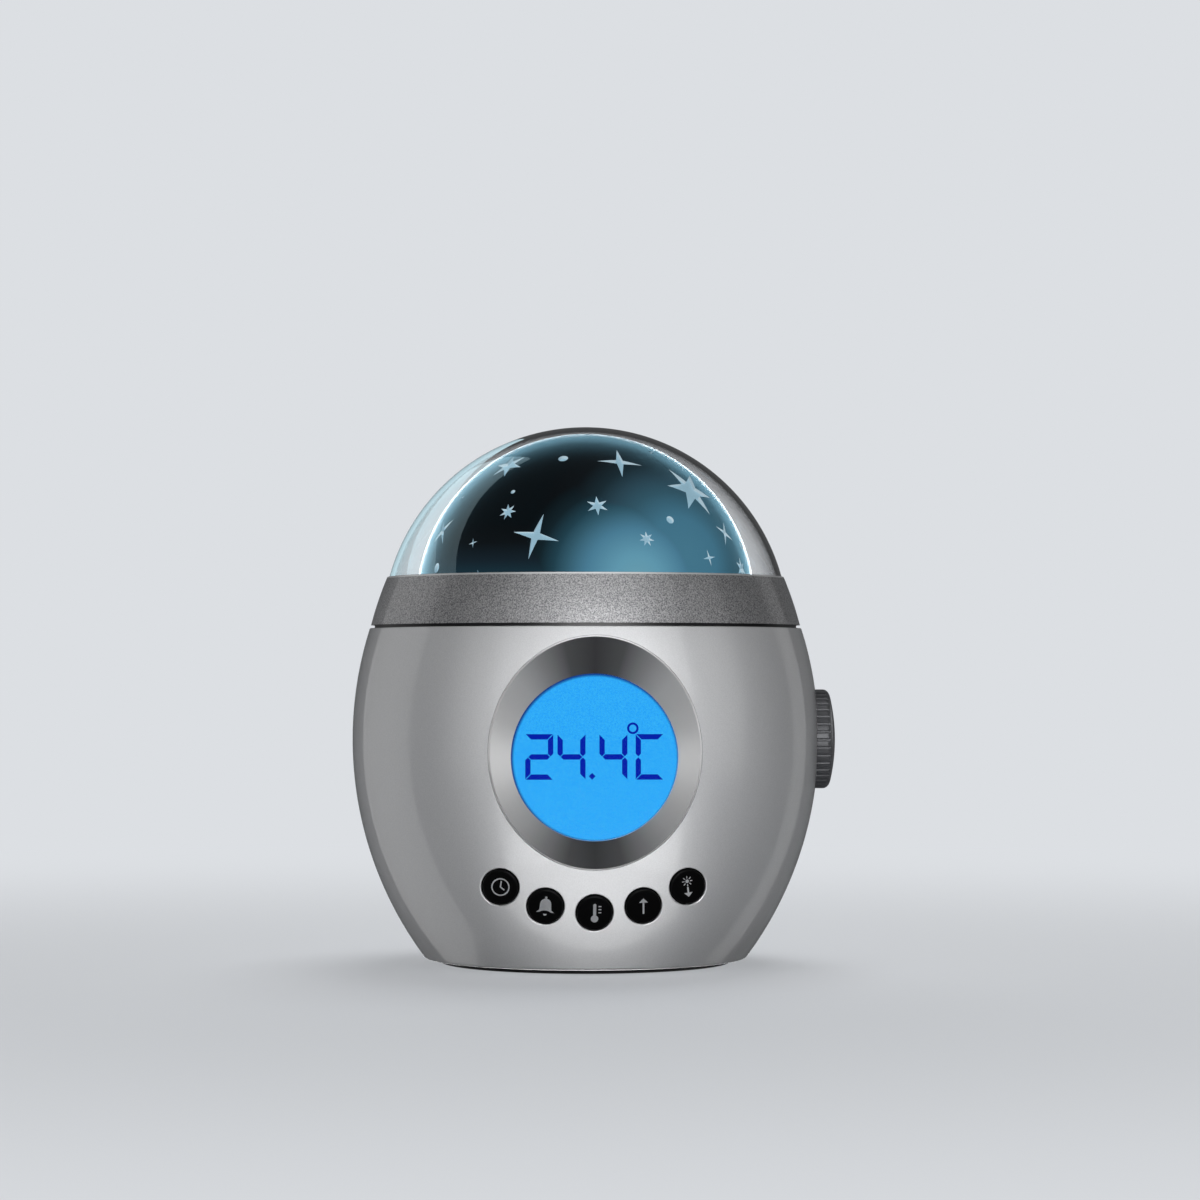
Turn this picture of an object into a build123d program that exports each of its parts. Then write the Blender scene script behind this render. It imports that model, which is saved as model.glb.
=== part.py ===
from build123d import *
import os
from math import cos, pi, radians, sin, sqrt

# Star night light projector: an egg-shaped case of two shells and a base plate, a deck that
# carries the lamp and the star dome, a clear outer dome under a trim ring, a round display in
# a conical dish, five push buttons and a rotary knob on the side.
#
# Millimetres. +Z up, origin at the centre of the foot's lowest plane, display facing -Y,
# knob facing +X. A "depth" is a distance from the centre plane towards -Y.

os.makedirs("parts", exist_ok=True)

# ---------------------------------------------------------------- fits
gap = 0.3              # between a moving piece and its neighbours
fit = 0.1              # between two fixed pieces that are put together
bearing_fit = 0.05     # radial, between a shaft or plunger and its bore
screw_fit = 0.25       # radial, between a screw's shank and a plain hole
glass_fit = 0.05       # between stacked display pieces

# ---------------------------------------------------------------- case
belly_r = 61.0         # largest radius of the case
belly_z = 58.3         # height of the largest radius
side_arc_r = 95.4      # radius of the side's arc in a section through the axis
base_z = 1.2           # underside of the case
case_rise = 29.0       # from the belly up to the case's top
wall = 2.2
corner_r = 1.4         # rounding of the case's lower edge
top_edge_r = 0.35
seam_inset = 0.75      # the seam's tongue lies this far under the outside
seam_tongue_t = 0.7
seam_tongue_len = 1.2
seam_low_z = 8.0
seam_high_z = 82.0

# ---------------------------------------------------------------- deck, ring and domes
line_h = 0.8           # height of the dark line between case and ring
line_inset = 1.3       # the deck's edge in that line lies this far inside the case's edge
deck_t = 2.0
deck_rib_h = 0.9       # rib that the trim ring snaps over
deck_rib_t = 0.75
ring_h = 12.6
ring_inset = 0.3       # the ring's foot lies this far inside the case's edge
ring_lip_t = 0.42      # thickness of the ring's top edge round the dome
ring_edge_r = 0.2
dome_inset = 1.9       # the dome's radius is this much less than the deck edge's
dome_sunk = 1.4        # the dome's centre lies this far under the deck's top
dome_t = 1.2
dome_flange_t = 1.5
star_dome_clear = 0.5  # from the star dome's top to the outer dome
star_dome_t = 0.8
liner_t = 0.9
liner_flange_t = 1.5
star_cut_depth = 3.0

# ---------------------------------------------------------------- lamp
lamp_post_r = 11.0
lamp_post_wall = 2.0
lamp_post_h = 1.9
lamp_board_r = 13.0
lamp_board_t = 1.6
led_r = 2.5
led_top_r = 2.4        # rounding of a lamp's top
led_h = 8.6
led_rim_r = 2.9
led_rim_h = 1.0
led_spread_r = 5.6
led_wire_hole_r = 4.0

# ---------------------------------------------------------------- display
display_drop = 3.5     # the display's centre lies this far under the belly
window_r = 20.75       # radius of the dish's inner edge
dish_depth = 8.7       # from the belly back to the dish's inner edge
dish_slope = 1.75      # radius gained for each millimetre forwards
cut_past = 1.5         # cutting shapes reach this far past the belly
rim_lip = 0.55         # width of the bezel's outer edge, seen from the front
rim_steps = 24         # points taken round an outline on the curved case
rim_halvings = 40
bezel_t = 1.3          # thickness of the bezel along its axis
bezel_proud = 0.12
well_t = 1.6
window_t = 1.0
window_lap = 1.6       # the window reaches this far under the bezel
sight_lap = 0.3        # the sight hole behind the window is this much wider than the dish
well_floor_t = 1.0
well_collar_w = 3.2
lcd_over_w = 2.5       # the glass is this much wider and higher than the dish's inner edge
lcd_over_h = 3.5
lcd_drop = 0.7         # the glass is centred this far under the window
lcd_t = 2.2
backlight_inset = 0.7  # the light block's sides lie this far inside the glass
backlight_t = 3.6
holder_wall = 1.4
holder_ledge_w = 3.0
holder_lap = 1.4       # the holder covers this much of the glass's thickness
pin_count = 12
pin_pitch = 3.0
pin_w = 0.5
pin_edge = 1.5         # from the glass's lower edge to the pins
pin_slot_w = 2.0
pin_strip_h = 4.4      # the glass's lower strip, which has pins in place of the light block

# ---------------------------------------------------------------- board and buttons
board_t = 1.6
board_margin = 3.3     # from the board's screws to its sides
board_low_z = 10.5
board_drop = 4.1       # from the deck's underside down to the board's upper edge
board_corner = 9.0
board_boss_space = 0.9  # between the board's bosses and the display's holder
board_screw_low_z = 42.0
board_screw_high_z = 72.0
board_boss_r = 2.8
button_r = 4.375
button_hole_edge_r = 0.3
button_proud = 0.5
button_edge_r = 0.45
button_travel = 0.8
button_flange_w = 1.1
button_flange_t = 1.0
button_stem_r = 1.8
button_stem_least = 0.8  # length of the shortest stem, from flange to switch plunger
guide_wall = 1.25
guide_len = 0.6        # least length of a button's guide behind the wall
switch_w = 6.0
switch_h = 3.1
plunger_r = 1.7
plunger_out = 1.1
plunger_in = 1.3
chip_w = 12.0
chip_z = 52.0
chip_t = 1.5
chip_edge = 0.3
driver_w = 5.0
driver_h = 6.2
driver_x = 16.0
driver_z = 34.0
capacitor_r = 2.5
capacitor_h = 7.0
capacitor_x = -17.0
capacitor_low_z = 54.0
capacitor_high_z = 62.0
crystal_len = 10.0
crystal_w = 4.0
crystal_t = 3.5
crystal_x = 12.0
crystal_z = 64.0
sensor_w = 4.0
sensor_h = 3.0
sensor_t = 2.0
sensor_corner_r = 1.0
sensor_inset = 10.5    # from the board's side to the sensor's middle
sensor_z = 15.0
button_names = ("time", "alarm", "temp", "up", "down")
button_arc_w = 21.7    # the buttons' arc is an ellipse that passes this far beside
button_arc_h = 17.65   # and this far under the dish's inner edge
button_step = 16.6     # degrees of that ellipse from button to button

# ---------------------------------------------------------------- side knob
knob_r = 13.0
knob_out = 4.4         # the knob's crown stands this far out of the belly
knob_side_h = 1.4      # from the belly to the start of the knob's rounded edge
knob_edge_r = 1.6
knob_edge_arc = 76     # degrees of rounding, where the edge meets the crown smoothly
knob_pocket_depth = 2.4
knob_pocket_gap = 0.6
knob_pad_w = 2.0
knob_pad_t = 2.6
knob_recess_r = 7.6
knob_recess_gap = 0.6
knob_flutes = 40
knob_flute_r = 0.6
knob_flute_depth = 0.22
knob_mark_w = 1.0
knob_mark_len = 3.4
knob_mark_floor = 1.7  # the mark's floor lies this far under the crown's top
shaft_r = 3.0
shaft_grip = 2.2       # length of the shaft held in the knob
bushing_r = 3.6
bushing_out = 2.3
nut_w = 10.0
nut_t = 1.8
rotary_w = 14.0
rotary_t = 9.0
rotary_floor = 1.2
terminal_count = 3
terminal_w = 1.2
terminal_t = 0.5
terminal_len = 3.0

# ---------------------------------------------------------------- screws
screw_r = 1.3
screw_head_r = 2.3
screw_head_h = 1.5
screw_crown = 0.6      # radius of a head's flat top, as a share of the head's radius
screw_slot = 0.5       # depth and width of the slot in a screw's head
screw_slot_reach = 1.3  # length of that slot, as a share of the head's radius
screw_len = 7.5
boss_r = 3.3
pilot_fit = 0.04

deck_screw_count = 4
deck_screw_head_r = 1.95
deck_boss_len = 13.0
base_screw_space = 2.4  # from a base screw's sunk hole to the foot
base_screw_y = 9.0
base_boss_len = 12.0
rib_t = 2.0
dome_screw_count = 3
dome_screw_len = 3.0
dome_screw_r = 0.9
dome_screw_head_r = 1.55

# ---------------------------------------------------------------- base, battery bay, foot
base_t = 3.0
ledge_w = 1.6
ledge_t = 1.6
foot_inset = 1.1       # the foot lies this far inside the base plate's edge
foot_w = 3.0
foot_sunk = 0.8
cell_r = 5.25
cell_len = 44.5
cell_nub_r = 1.9
cell_nub_h = 0.8
cell_count = 3
cell_pitch = 10.9
cell_play = 0.15       # a cell's nub stands this far off its contact plate
spring_turns = 3
spring_len = 4.0
spring_r = 3.4
spring_wire = 0.8
contact_t = 0.4
contact_w = 8.6
bay_wall = 1.4
bay_side_play = 0.6
bay_end_play = 0.4
bay_roof_gap = 0.4
door_t = 1.6
door_lap = 2.0
door_corner_r = 2.0
door_screw_out = 2.35  # the door's screws stand this far beyond its ends
door_lobe_r = 4.3
door_boss_r = 3.2
door_boss_h = 5.0
door_boss_roof = 1.0
door_screw_grip = 3.6  # length of a door screw's shank in its boss
grip_count = 3
grip_pitch = 2.4
grip_len = 14.0
grip_w = 1.0

# ---------------------------------------------------------------- buzzer
buzzer_r = 10.0
buzzer_t = 4.0
buzzer_z = 40.0
buzzer_inset = 11.2    # from the belly forwards to the buzzer's front face
buzzer_seat_w = 1.4
buzzer_lip = 2.0
sound_hole_r = 0.8
sound_hole_ring = 4.5
sound_hole_count = 6

# Values that several pieces share
quarter_turn = 90
case_top_z = belly_z + case_rise
base_top_z = base_z + base_t


def case_r(height, inset=0.0):
    """Radius at a height of the surface that lies inset under the case's outside."""
    return belly_r - side_arc_r + sqrt((side_arc_r - inset) ** 2 - (height - belly_z) ** 2)


deck_top_z = case_top_z + line_h
deck_low_z = deck_top_z - deck_t
line_r = case_r(case_top_z) - line_inset
ring_low_r = case_r(case_top_z) - ring_inset
ring_top_z = deck_top_z + ring_h
dome_r = line_r - dome_inset
dome_z = deck_top_z - dome_sunk
dome_top_z = dome_z + dome_r
dome_inner_r = dome_r - dome_t
deck_screw_r = dome_inner_r - gap - deck_screw_head_r
liner_flange_r = deck_screw_r - deck_screw_head_r - gap
star_dome_r = liner_flange_r - 2 * dome_screw_head_r - 2 * fit
star_dome_z = dome_top_z - dome_t - star_dome_clear - star_dome_r
display_z = belly_z - display_drop
window_depth = belly_r - dish_depth
bezel_back_depth = window_depth - bezel_t
window_front_depth = bezel_back_depth - glass_fit
window_back_depth = window_front_depth - window_t
lcd_front_depth = window_back_depth - well_floor_t
lcd_back_depth = lcd_front_depth - lcd_t
backlight_back_depth = lcd_back_depth - glass_fit - backlight_t
lcd_z = display_z - lcd_drop
lcd_w = 2 * window_r + lcd_over_w
lcd_h = 2 * window_r + lcd_over_h
backlight_w = lcd_w - 2 * backlight_inset
backlight_h = lcd_h - pin_strip_h
board_high_z = deck_low_z - board_drop
board_screw_x = lcd_w / 2 + fit + holder_wall + board_boss_space + board_boss_r
board_half_w = board_screw_x + board_margin
buzzer_y = belly_r - buzzer_inset
knob_z = belly_z
pocket_x = belly_r - knob_pocket_depth
pad_x = pocket_x - knob_pad_t
bay_w = cell_count * cell_pitch + bay_side_play
bay_len = cell_len + spring_len + 2 * contact_t + bay_end_play
door_w = bay_w + 2 * door_lap
door_len = bay_len + 2 * door_lap
door_screw_y = door_len / 2 + door_screw_out
door_low_z = base_z
bay_floor_z = base_z + door_t + gap
cell_z = bay_floor_z + fit + cell_r
bay_roof_z = cell_z + cell_r + bay_roof_gap
base_plate_r = case_r(base_z, wall) - 2 * fit
foot_outer_r = base_plate_r - foot_inset
foot_inner_r = foot_outer_r - foot_w
base_screw_ring_r = foot_inner_r - base_screw_space - screw_fit - screw_head_r
base_screw_x = sqrt(base_screw_ring_r**2 - base_screw_y**2)

# Places of the buttons seen from the front, from left to right under the display
button_places = {}
for button_index, button_name in enumerate(button_names):
    button_angle = radians(button_step * (button_index - len(button_names) // 2))
    button_x = (window_r + button_arc_w) * sin(button_angle)
    button_places[button_name] = (button_x, display_z - (window_r + button_arc_h) * cos(button_angle))

# The star dome's openings stand on it twice, half a turn apart. Azimuth is counted from the
# front towards +X and elevation from the dome's foot. Round dots have a diameter. Stars have
# their number of points, the size across and the turn from upright.
dot_layout = [
    (-63, 11, 2.5),
    (-34, 38, 1.2),
    (-15, 54, 2.5),
    (30, 27, 2.1),
    (71, 19, 2.3),
    (84, 60, 2.2),
]
star_layout = {
    4: [
        (-82, 14, 4.4, 16),
        (-67, 24, 10.0, 41),
        (-65, 37, 2.2, 0),
        (-45, 19, 3.0, 15),
        (-40, 8, 3.4, 25),
        (-20, 21, 12.6, -12),
        (16, 52, 12.0, -8),
        (44, 14, 4.7, 8),
        (45, 59, 2.4, 30),
        (47, 72, 2.4, 10),
        (58, 23, 8.0, -29),
        (82, 33, 9.2, -12),
    ],
    5: [(-2, 7, 2.8, 0), (2, 77, 3.0, 0)],
    6: [
        (-84, 46, 6.6, 8),
        (-47, 51, 9.8, 22),
        (2, 32, 5.8, 3),
        (49, 39.5, 16.0, 18),
        (64, 11, 6.4, 0),
    ],
    7: [(-33, 30, 4.8, 15), (19, 20, 4.1, 0)],
}
star_waists = {4: 0.2, 5: 0.36, 6: 0.37, 7: 0.42}  # inner radius as a share of the outer


# ================================================================ shared shapes
def case_depth(x, z, inset=0.0):
    """Depth of that surface at a place seen from the front."""
    return sqrt(case_r(z, inset) ** 2 - x**2)


def case_solid(inset, low_z, high_z):
    """The egg's lower part as a full solid, with its side inset under the outside."""
    middle_z = (low_z + high_z) / 2
    low = (case_r(low_z, inset), low_z)
    middle = (case_r(middle_z, inset), middle_z)
    high = (case_r(high_z, inset), high_z)
    with BuildPart() as solid:
        with BuildSketch(Plane.XZ):
            with BuildLine():
                Line((0, low_z), low)
                ThreePointArc(low, middle, high)
                Line(high, (0, high_z))
                Line((0, high_z), (0, low_z))
            make_face()
        revolve(axis=Axis.Z)
    return solid.part


def dome_radius(height, radius=dome_r, centre_z=dome_z):
    """Radius of a sphere about the axis at a height."""
    return sqrt(radius**2 - (height - centre_z) ** 2)


def rim_radius(angle):
    """Radius at which the dish's cone comes out of the case, found by halving."""
    low = window_r
    high = 2 * window_r
    for _ in range(rim_halvings):
        middle = (low + high) / 2
        cone_depth = window_depth + (middle - window_r) / dish_slope
        side_depth = case_depth(middle * cos(angle), display_z + middle * sin(angle))
        if cone_depth < side_depth:
            low = middle
        else:
            high = middle
    return low


def rim_prism(margin):
    """The rim's outline, grown by a margin and drawn out through the case's front."""
    points = []
    for step in range(rim_steps):
        angle = 2 * pi * step / rim_steps
        reach = rim_radius(angle) + margin
        points.append((reach * cos(angle), display_z + reach * sin(angle)))
    with BuildPart() as prism:
        with BuildSketch(Plane.XZ.offset(lcd_back_depth)):
            with BuildLine():
                Spline(*points, periodic=True)
            make_face()
        extrude(amount=belly_r + cut_past - lcd_back_depth)
    return prism.part


def dish_space(back_step):
    """Space in front of the dish, with the window's cylinder moved back by a step."""
    back = back_step - window_depth
    front = -belly_r - cut_past
    with BuildPart() as space:
        with BuildSketch(Plane.YZ):
            with BuildLine():
                Polyline(
                    (back, display_z),
                    (back, display_z + window_r),
                    (front, display_z + window_r + dish_slope * (back - front)),
                    (front, display_z),
                    close=True,
                )
            make_face()
        revolve(axis=Axis((0, 0, display_z), (0, 1, 0)))
    return space.part


def front_disc(x, z, radius, near_depth, far_depth):
    """A cylinder along the front's axis between two depths."""
    with BuildPart() as disc:
        with BuildSketch(Plane.XZ.offset(near_depth)):
            with Locations((x, z)):
                Circle(radius)
        extrude(amount=far_depth - near_depth)
    return disc.part


def side_disc(radius, near_x, far_x):
    """A cylinder along the knob's axis between two distances."""
    with BuildPart() as disc:
        with BuildSketch(Plane.YZ.offset(near_x)):
            with Locations((0, knob_z)):
                Circle(radius)
        extrude(amount=far_x - near_x)
    return disc.part


def guide_depth(x, z):
    """Depth of the flat back end of a button's guide, clear of the sloping wall."""
    bore_r = button_r + gap
    depths = []
    for step in range(rim_steps):
        angle = 2 * pi * step / rim_steps
        depths.append(case_depth(x + bore_r * cos(angle), z + bore_r * sin(angle), wall))
    return min(depths) - guide_len


# The board stands where its switches reach the shortest button's stem
least_guide_depth = min(guide_depth(x, z) for x, z in button_places.values())
plunger_depth = least_guide_depth - gap - button_flange_t - button_stem_least
switch_depth = plunger_depth - plunger_out
board_depth = switch_depth - switch_h


def is_hole_edge(edge, x, z):
    """Whether an edge runs round a button's hole on the case's outside."""
    around = edge.center(CenterOf.BOUNDING_BOX)
    offset = sqrt((around.X - x) ** 2 + (around.Z - z) ** 2)
    return offset < gap and edge.length > 2 * pi * button_r and -around.Y > case_depth(x, z, wall / 2)


def pan_screw(length, head_r=screw_head_r, shank_r=screw_r):
    """A screw along +Z with its head's underside at the origin and its shank below."""
    with BuildPart() as screw:
        with BuildSketch(Plane.XZ):
            with BuildLine():
                Polyline(
                    (0, -length),
                    (shank_r / 2, -length),
                    (shank_r, -length + shank_r),
                    (shank_r, 0),
                    (head_r, 0),
                    (head_r, screw_head_h / 2),
                    (head_r * screw_crown, screw_head_h),
                    (0, screw_head_h),
                    close=True,
                )
            make_face()
        revolve(axis=Axis.Z)
        with BuildSketch(Plane.XY.offset(screw_head_h)):
            Rectangle(head_r * screw_slot_reach, screw_slot)
            Rectangle(screw_slot, head_r * screw_slot_reach)
        extrude(amount=-screw_slot, mode=Mode.SUBTRACT)
    return screw.part


def seam_tongue(grow):
    """Tongue along both side seams, grown on every side for the groove that takes it."""
    low_z = seam_low_z - grow
    high_z = seam_high_z + grow
    with BuildPart() as tongue:
        add(case_solid(seam_inset - grow, low_z, high_z))
        add(case_solid(seam_inset + seam_tongue_t + grow, low_z, high_z), mode=Mode.SUBTRACT)
        with BuildSketch(Plane.XY.offset(low_z)):
            with Locations((0, (seam_tongue_len + grow) / 2)):
                Rectangle(2 * (belly_r + cut_past), seam_tongue_len + grow)
        extrude(amount=high_z - low_z, mode=Mode.INTERSECT)
    return tongue.part


# ================================================================ case
corners = [(1, 1), (1, -1), (-1, 1), (-1, -1)]
base_screw_places = [(sx * base_screw_x, sy * base_screw_y) for sx, sy in corners]
knob_pocket = side_disc(knob_r + knob_pocket_gap, pocket_x, belly_r + knob_out)

with BuildPart() as screw_bosses:
    with BuildSketch(Plane.XY.offset(base_top_z)):
        with Locations(*base_screw_places):
            Circle(boss_r)
        for side_x, side_y in corners:
            with Locations((side_x * base_screw_x, side_y * base_screw_y)):
                Rectangle(belly_r, rib_t, align=(Align.MIN if side_x > 0 else Align.MAX, Align.CENTER))
    extrude(amount=base_boss_len)
    with BuildSketch(Plane.XY.offset(deck_low_z)):
        with PolarLocations(deck_screw_r, deck_screw_count, start_angle=quarter_turn / 2):
            Circle(boss_r)
            Rectangle(belly_r, rib_t, align=(Align.MIN, Align.CENTER))
    extrude(amount=-deck_boss_len)
    add(case_solid(wall / 2, base_z, case_top_z), mode=Mode.INTERSECT)

with BuildPart() as casing:
    add(case_solid(0, base_z, case_top_z))
    add(case_solid(wall, base_z, case_top_z), mode=Mode.SUBTRACT)
    circles = casing.edges().filter_by(GeomType.CIRCLE)
    fillet(circles.group_by(Axis.Z)[0].sort_by(SortBy.RADIUS)[-1], radius=corner_r)
    circles = casing.edges().filter_by(GeomType.CIRCLE)
    fillet(circles.group_by(Axis.Z)[-1].sort_by(SortBy.RADIUS)[-1], radius=top_edge_r)
    # ledge that the base plate is drawn up against
    with BuildSketch(Plane.XY.offset(base_top_z)):
        Circle(case_r(base_top_z, wall / 2))
        Circle(case_r(base_top_z, wall) - ledge_w, mode=Mode.SUBTRACT)
    extrude(amount=ledge_t)
    add(screw_bosses.part)
    with BuildSketch(Plane.XY.offset(base_top_z)):
        with Locations(*base_screw_places):
            Circle(screw_r + pilot_fit)
    extrude(amount=screw_len, mode=Mode.SUBTRACT)
    with BuildSketch(Plane.XY.offset(deck_low_z)):
        with PolarLocations(deck_screw_r, deck_screw_count, start_angle=quarter_turn / 2):
            Circle(screw_r + pilot_fit)
    extrude(amount=-screw_len, mode=Mode.SUBTRACT)
    # flat pad and pocket for the side knob
    add(side_disc(knob_r + knob_pocket_gap + knob_pad_w, pad_x, pocket_x))
    add(knob_pocket, mode=Mode.SUBTRACT)
    add(side_disc(bushing_r + fit, pad_x, pocket_x), mode=Mode.SUBTRACT)

with BuildPart() as display_well:
    add(rim_prism(rim_lip + fit + well_t))
    add(dish_space(bezel_t + fit + well_t), mode=Mode.INTERSECT)
    add(front_disc(0, display_z, window_r + well_collar_w, lcd_front_depth, window_depth))
    add(case_solid(wall / 2, base_z, case_top_z), mode=Mode.INTERSECT)

with BuildPart() as bezel_seat:
    add(rim_prism(rim_lip + fit))
    add(dish_space(bezel_t + fit), mode=Mode.INTERSECT)
    add(front_disc(0, display_z, window_r + window_lap + fit, window_back_depth, window_depth))
    add(front_disc(0, display_z, window_r + sight_lap, lcd_front_depth - wall, window_depth))

with BuildPart() as button_guides:
    for x, z in button_places.values():
        add(front_disc(x, z, button_r + gap + guide_wall, guide_depth(x, z), belly_r))
    add(case_solid(wall / 2, base_z, case_top_z), mode=Mode.INTERSECT)

board_screw_places = []
for side_x in (-1, 1):
    for z in (board_screw_low_z, board_screw_high_z):
        board_screw_places.append((side_x * board_screw_x, z))

with BuildPart() as board_bosses:
    for x, z in board_screw_places:
        add(front_disc(x, z, board_boss_r, board_depth, belly_r))
    add(case_solid(wall / 2, base_z, case_top_z), mode=Mode.INTERSECT)

with BuildPart() as front_shell:
    add(casing.part)
    split(bisect_by=Plane.XZ, keep=Keep.TOP)
    add(seam_tongue(0))
    add(knob_pocket, mode=Mode.SUBTRACT)
    add(display_well.part)
    add(bezel_seat.part, mode=Mode.SUBTRACT)
    add(button_guides.part)
    for x, z in button_places.values():
        add(front_disc(x, z, button_r + gap, board_depth, belly_r), mode=Mode.SUBTRACT)
        hole_edges = front_shell.edges().filter_by(lambda edge: is_hole_edge(edge, x, z))
        fillet(hole_edges, radius=button_hole_edge_r)
    add(board_bosses.part)
    for x, z in board_screw_places:
        pilot_end = board_depth + screw_len - board_t
        add(front_disc(x, z, screw_r + pilot_fit, board_depth, pilot_end), mode=Mode.SUBTRACT)
front_shell.part.label = "front_shell"
export_step(front_shell.part, "parts/front_shell.step")

buzzer_seat_y = buzzer_y + buzzer_t
with BuildPart() as buzzer_seat:
    with BuildSketch(Plane.XZ.offset(-buzzer_seat_y)):
        with Locations((0, buzzer_z)):
            Circle(buzzer_r + fit + buzzer_seat_w)
            Circle(buzzer_r - buzzer_lip, mode=Mode.SUBTRACT)
    extrude(amount=buzzer_seat_y - belly_r)
    with BuildSketch(Plane.XZ.offset(-buzzer_seat_y)):
        with Locations((0, buzzer_z)):
            Circle(buzzer_r + fit + buzzer_seat_w)
            Circle(buzzer_r + fit, mode=Mode.SUBTRACT)
    extrude(amount=buzzer_t / 2)
    add(case_solid(wall / 2, base_z, case_top_z), mode=Mode.INTERSECT)

with BuildPart() as rear_shell:
    add(casing.part)
    split(bisect_by=Plane.XZ, keep=Keep.BOTTOM)
    add(seam_tongue(fit), mode=Mode.SUBTRACT)
    add(buzzer_seat.part)
    with BuildSketch(Plane.XZ.offset(-buzzer_seat_y)):
        with Locations((0, buzzer_z)):
            Circle(sound_hole_r)
            with PolarLocations(sound_hole_ring, sound_hole_count):
                Circle(sound_hole_r)
    extrude(amount=buzzer_seat_y - belly_r, mode=Mode.SUBTRACT)
rear_shell.part.label = "rear_shell"
export_step(rear_shell.part, "parts/rear_shell.step")

with BuildPart() as buzzer:
    with BuildSketch(Plane.XZ.offset(-buzzer_seat_y)):
        with Locations((0, buzzer_z)):
            Circle(buzzer_r)
    extrude(amount=buzzer_t)
    fillet(buzzer.faces().sort_by(Axis.Y)[0].edges(), radius=buzzer_t / 8)
    with BuildSketch(Plane.XZ.offset(-buzzer_seat_y)):
        with Locations((0, buzzer_z)):
            Circle(sound_hole_r * 2)
    extrude(amount=buzzer_t / 2, mode=Mode.SUBTRACT)
buzzer.part.label = "buzzer"
export_step(buzzer.part, "parts/buzzer.step")

# ================================================================ deck, ring and domes
deck_edge_r = case_r(case_top_z, wall) - fit
ring_pocket_r = line_r + fit
dome_flange_r = line_r - deck_rib_t - fit
dome_flange_z = deck_top_z + dome_flange_t
liner_r = star_dome_r - star_dome_t - fit
liner_flange_z = deck_top_z + liner_flange_t
dome_screw_ring_r = (star_dome_r + liner_flange_r) / 2

with BuildPart() as dome_deck:
    with BuildSketch(Plane.XY.offset(deck_low_z)):
        Circle(deck_edge_r)
    extrude(amount=deck_t)
    with BuildSketch(Plane.XY.offset(case_top_z)):
        Circle(line_r)
    extrude(amount=line_h)
    with BuildSketch(Plane.XY.offset(deck_top_z)):
        Circle(line_r)
        Circle(line_r - deck_rib_t, mode=Mode.SUBTRACT)
    extrude(amount=deck_rib_h)
    with BuildSketch(Plane.XY.offset(deck_top_z)):
        Circle(lamp_post_r)
        Circle(lamp_post_r - lamp_post_wall, mode=Mode.SUBTRACT)
    extrude(amount=lamp_post_h)
    with BuildSketch(Plane.XY.offset(deck_low_z)):
        Circle(led_wire_hole_r)
        with PolarLocations(deck_screw_r, deck_screw_count, start_angle=quarter_turn / 2):
            Circle(screw_r + screw_fit)
        with PolarLocations(dome_screw_ring_r, dome_screw_count):
            Circle(dome_screw_r + pilot_fit)
    extrude(amount=deck_t, mode=Mode.SUBTRACT)
dome_deck.part.label = "dome_deck"
export_step(dome_deck.part, "parts/dome_deck.step")

with BuildPart() as deck_screws:
    with PolarLocations(deck_screw_r, deck_screw_count, start_angle=quarter_turn / 2):
        add(Pos(0, 0, deck_top_z) * pan_screw(screw_len, deck_screw_head_r))
deck_screws.part.label = "deck_screws"
export_step(deck_screws.part, "parts/deck_screws.step")

ring_inner_top_r = dome_radius(ring_top_z) + fit
ring_ledge_z = dome_flange_z + fit
ring_throat_r = dome_radius(ring_ledge_z) + fit
ring_mid_z = (ring_ledge_z + ring_top_z) / 2
with BuildPart() as trim_ring:
    with BuildSketch(Plane.XZ):
        with BuildLine():
            RadiusArc(
                (ring_low_r, deck_top_z),
                (ring_inner_top_r + ring_lip_t, ring_top_z),
                -side_arc_r,
            )
            Polyline(
                (ring_inner_top_r + ring_lip_t, ring_top_z),
                (ring_inner_top_r, ring_top_z),
            )
            ThreePointArc(
                (ring_inner_top_r, ring_top_z),
                (dome_radius(ring_mid_z) + fit, ring_mid_z),
                (ring_throat_r, ring_ledge_z),
            )
            Polyline(
                (ring_throat_r, ring_ledge_z),
                (dome_flange_r + fit, ring_ledge_z),
                (dome_flange_r + fit, deck_top_z + deck_rib_h),
                (ring_pocket_r, deck_top_z + deck_rib_h),
                (ring_pocket_r, deck_top_z),
                (ring_low_r, deck_top_z),
            )
        make_face()
    revolve(axis=Axis.Z)
    top_circles = trim_ring.edges().filter_by(GeomType.CIRCLE).group_by(Axis.Z)[-1]
    fillet(top_circles.sort_by(SortBy.RADIUS)[-1], radius=ring_edge_r)
trim_ring.part.label = "trim_ring"
export_step(trim_ring.part, "parts/trim_ring.step")

dome_side = sqrt(0.5)
with BuildPart() as outer_dome:
    with BuildSketch(Plane.XZ):
        with BuildLine():
            Polyline(
                (dome_radius(deck_top_z, dome_inner_r), deck_top_z),
                (dome_flange_r, deck_top_z),
                (dome_flange_r, dome_flange_z),
                (dome_radius(dome_flange_z), dome_flange_z),
            )
            ThreePointArc(
                (dome_radius(dome_flange_z), dome_flange_z),
                (dome_r * dome_side, dome_z + dome_r * dome_side),
                (0, dome_top_z),
            )
            Line((0, dome_top_z), (0, dome_top_z - dome_t))
            ThreePointArc(
                (0, dome_top_z - dome_t),
                (dome_inner_r * dome_side, dome_z + dome_inner_r * dome_side),
                (dome_radius(deck_top_z, dome_inner_r), deck_top_z),
            )
        make_face()
    revolve(axis=Axis.Z)
outer_dome.part.label = "outer_dome"
export_step(outer_dome.part, "parts/outer_dome.step")


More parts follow.
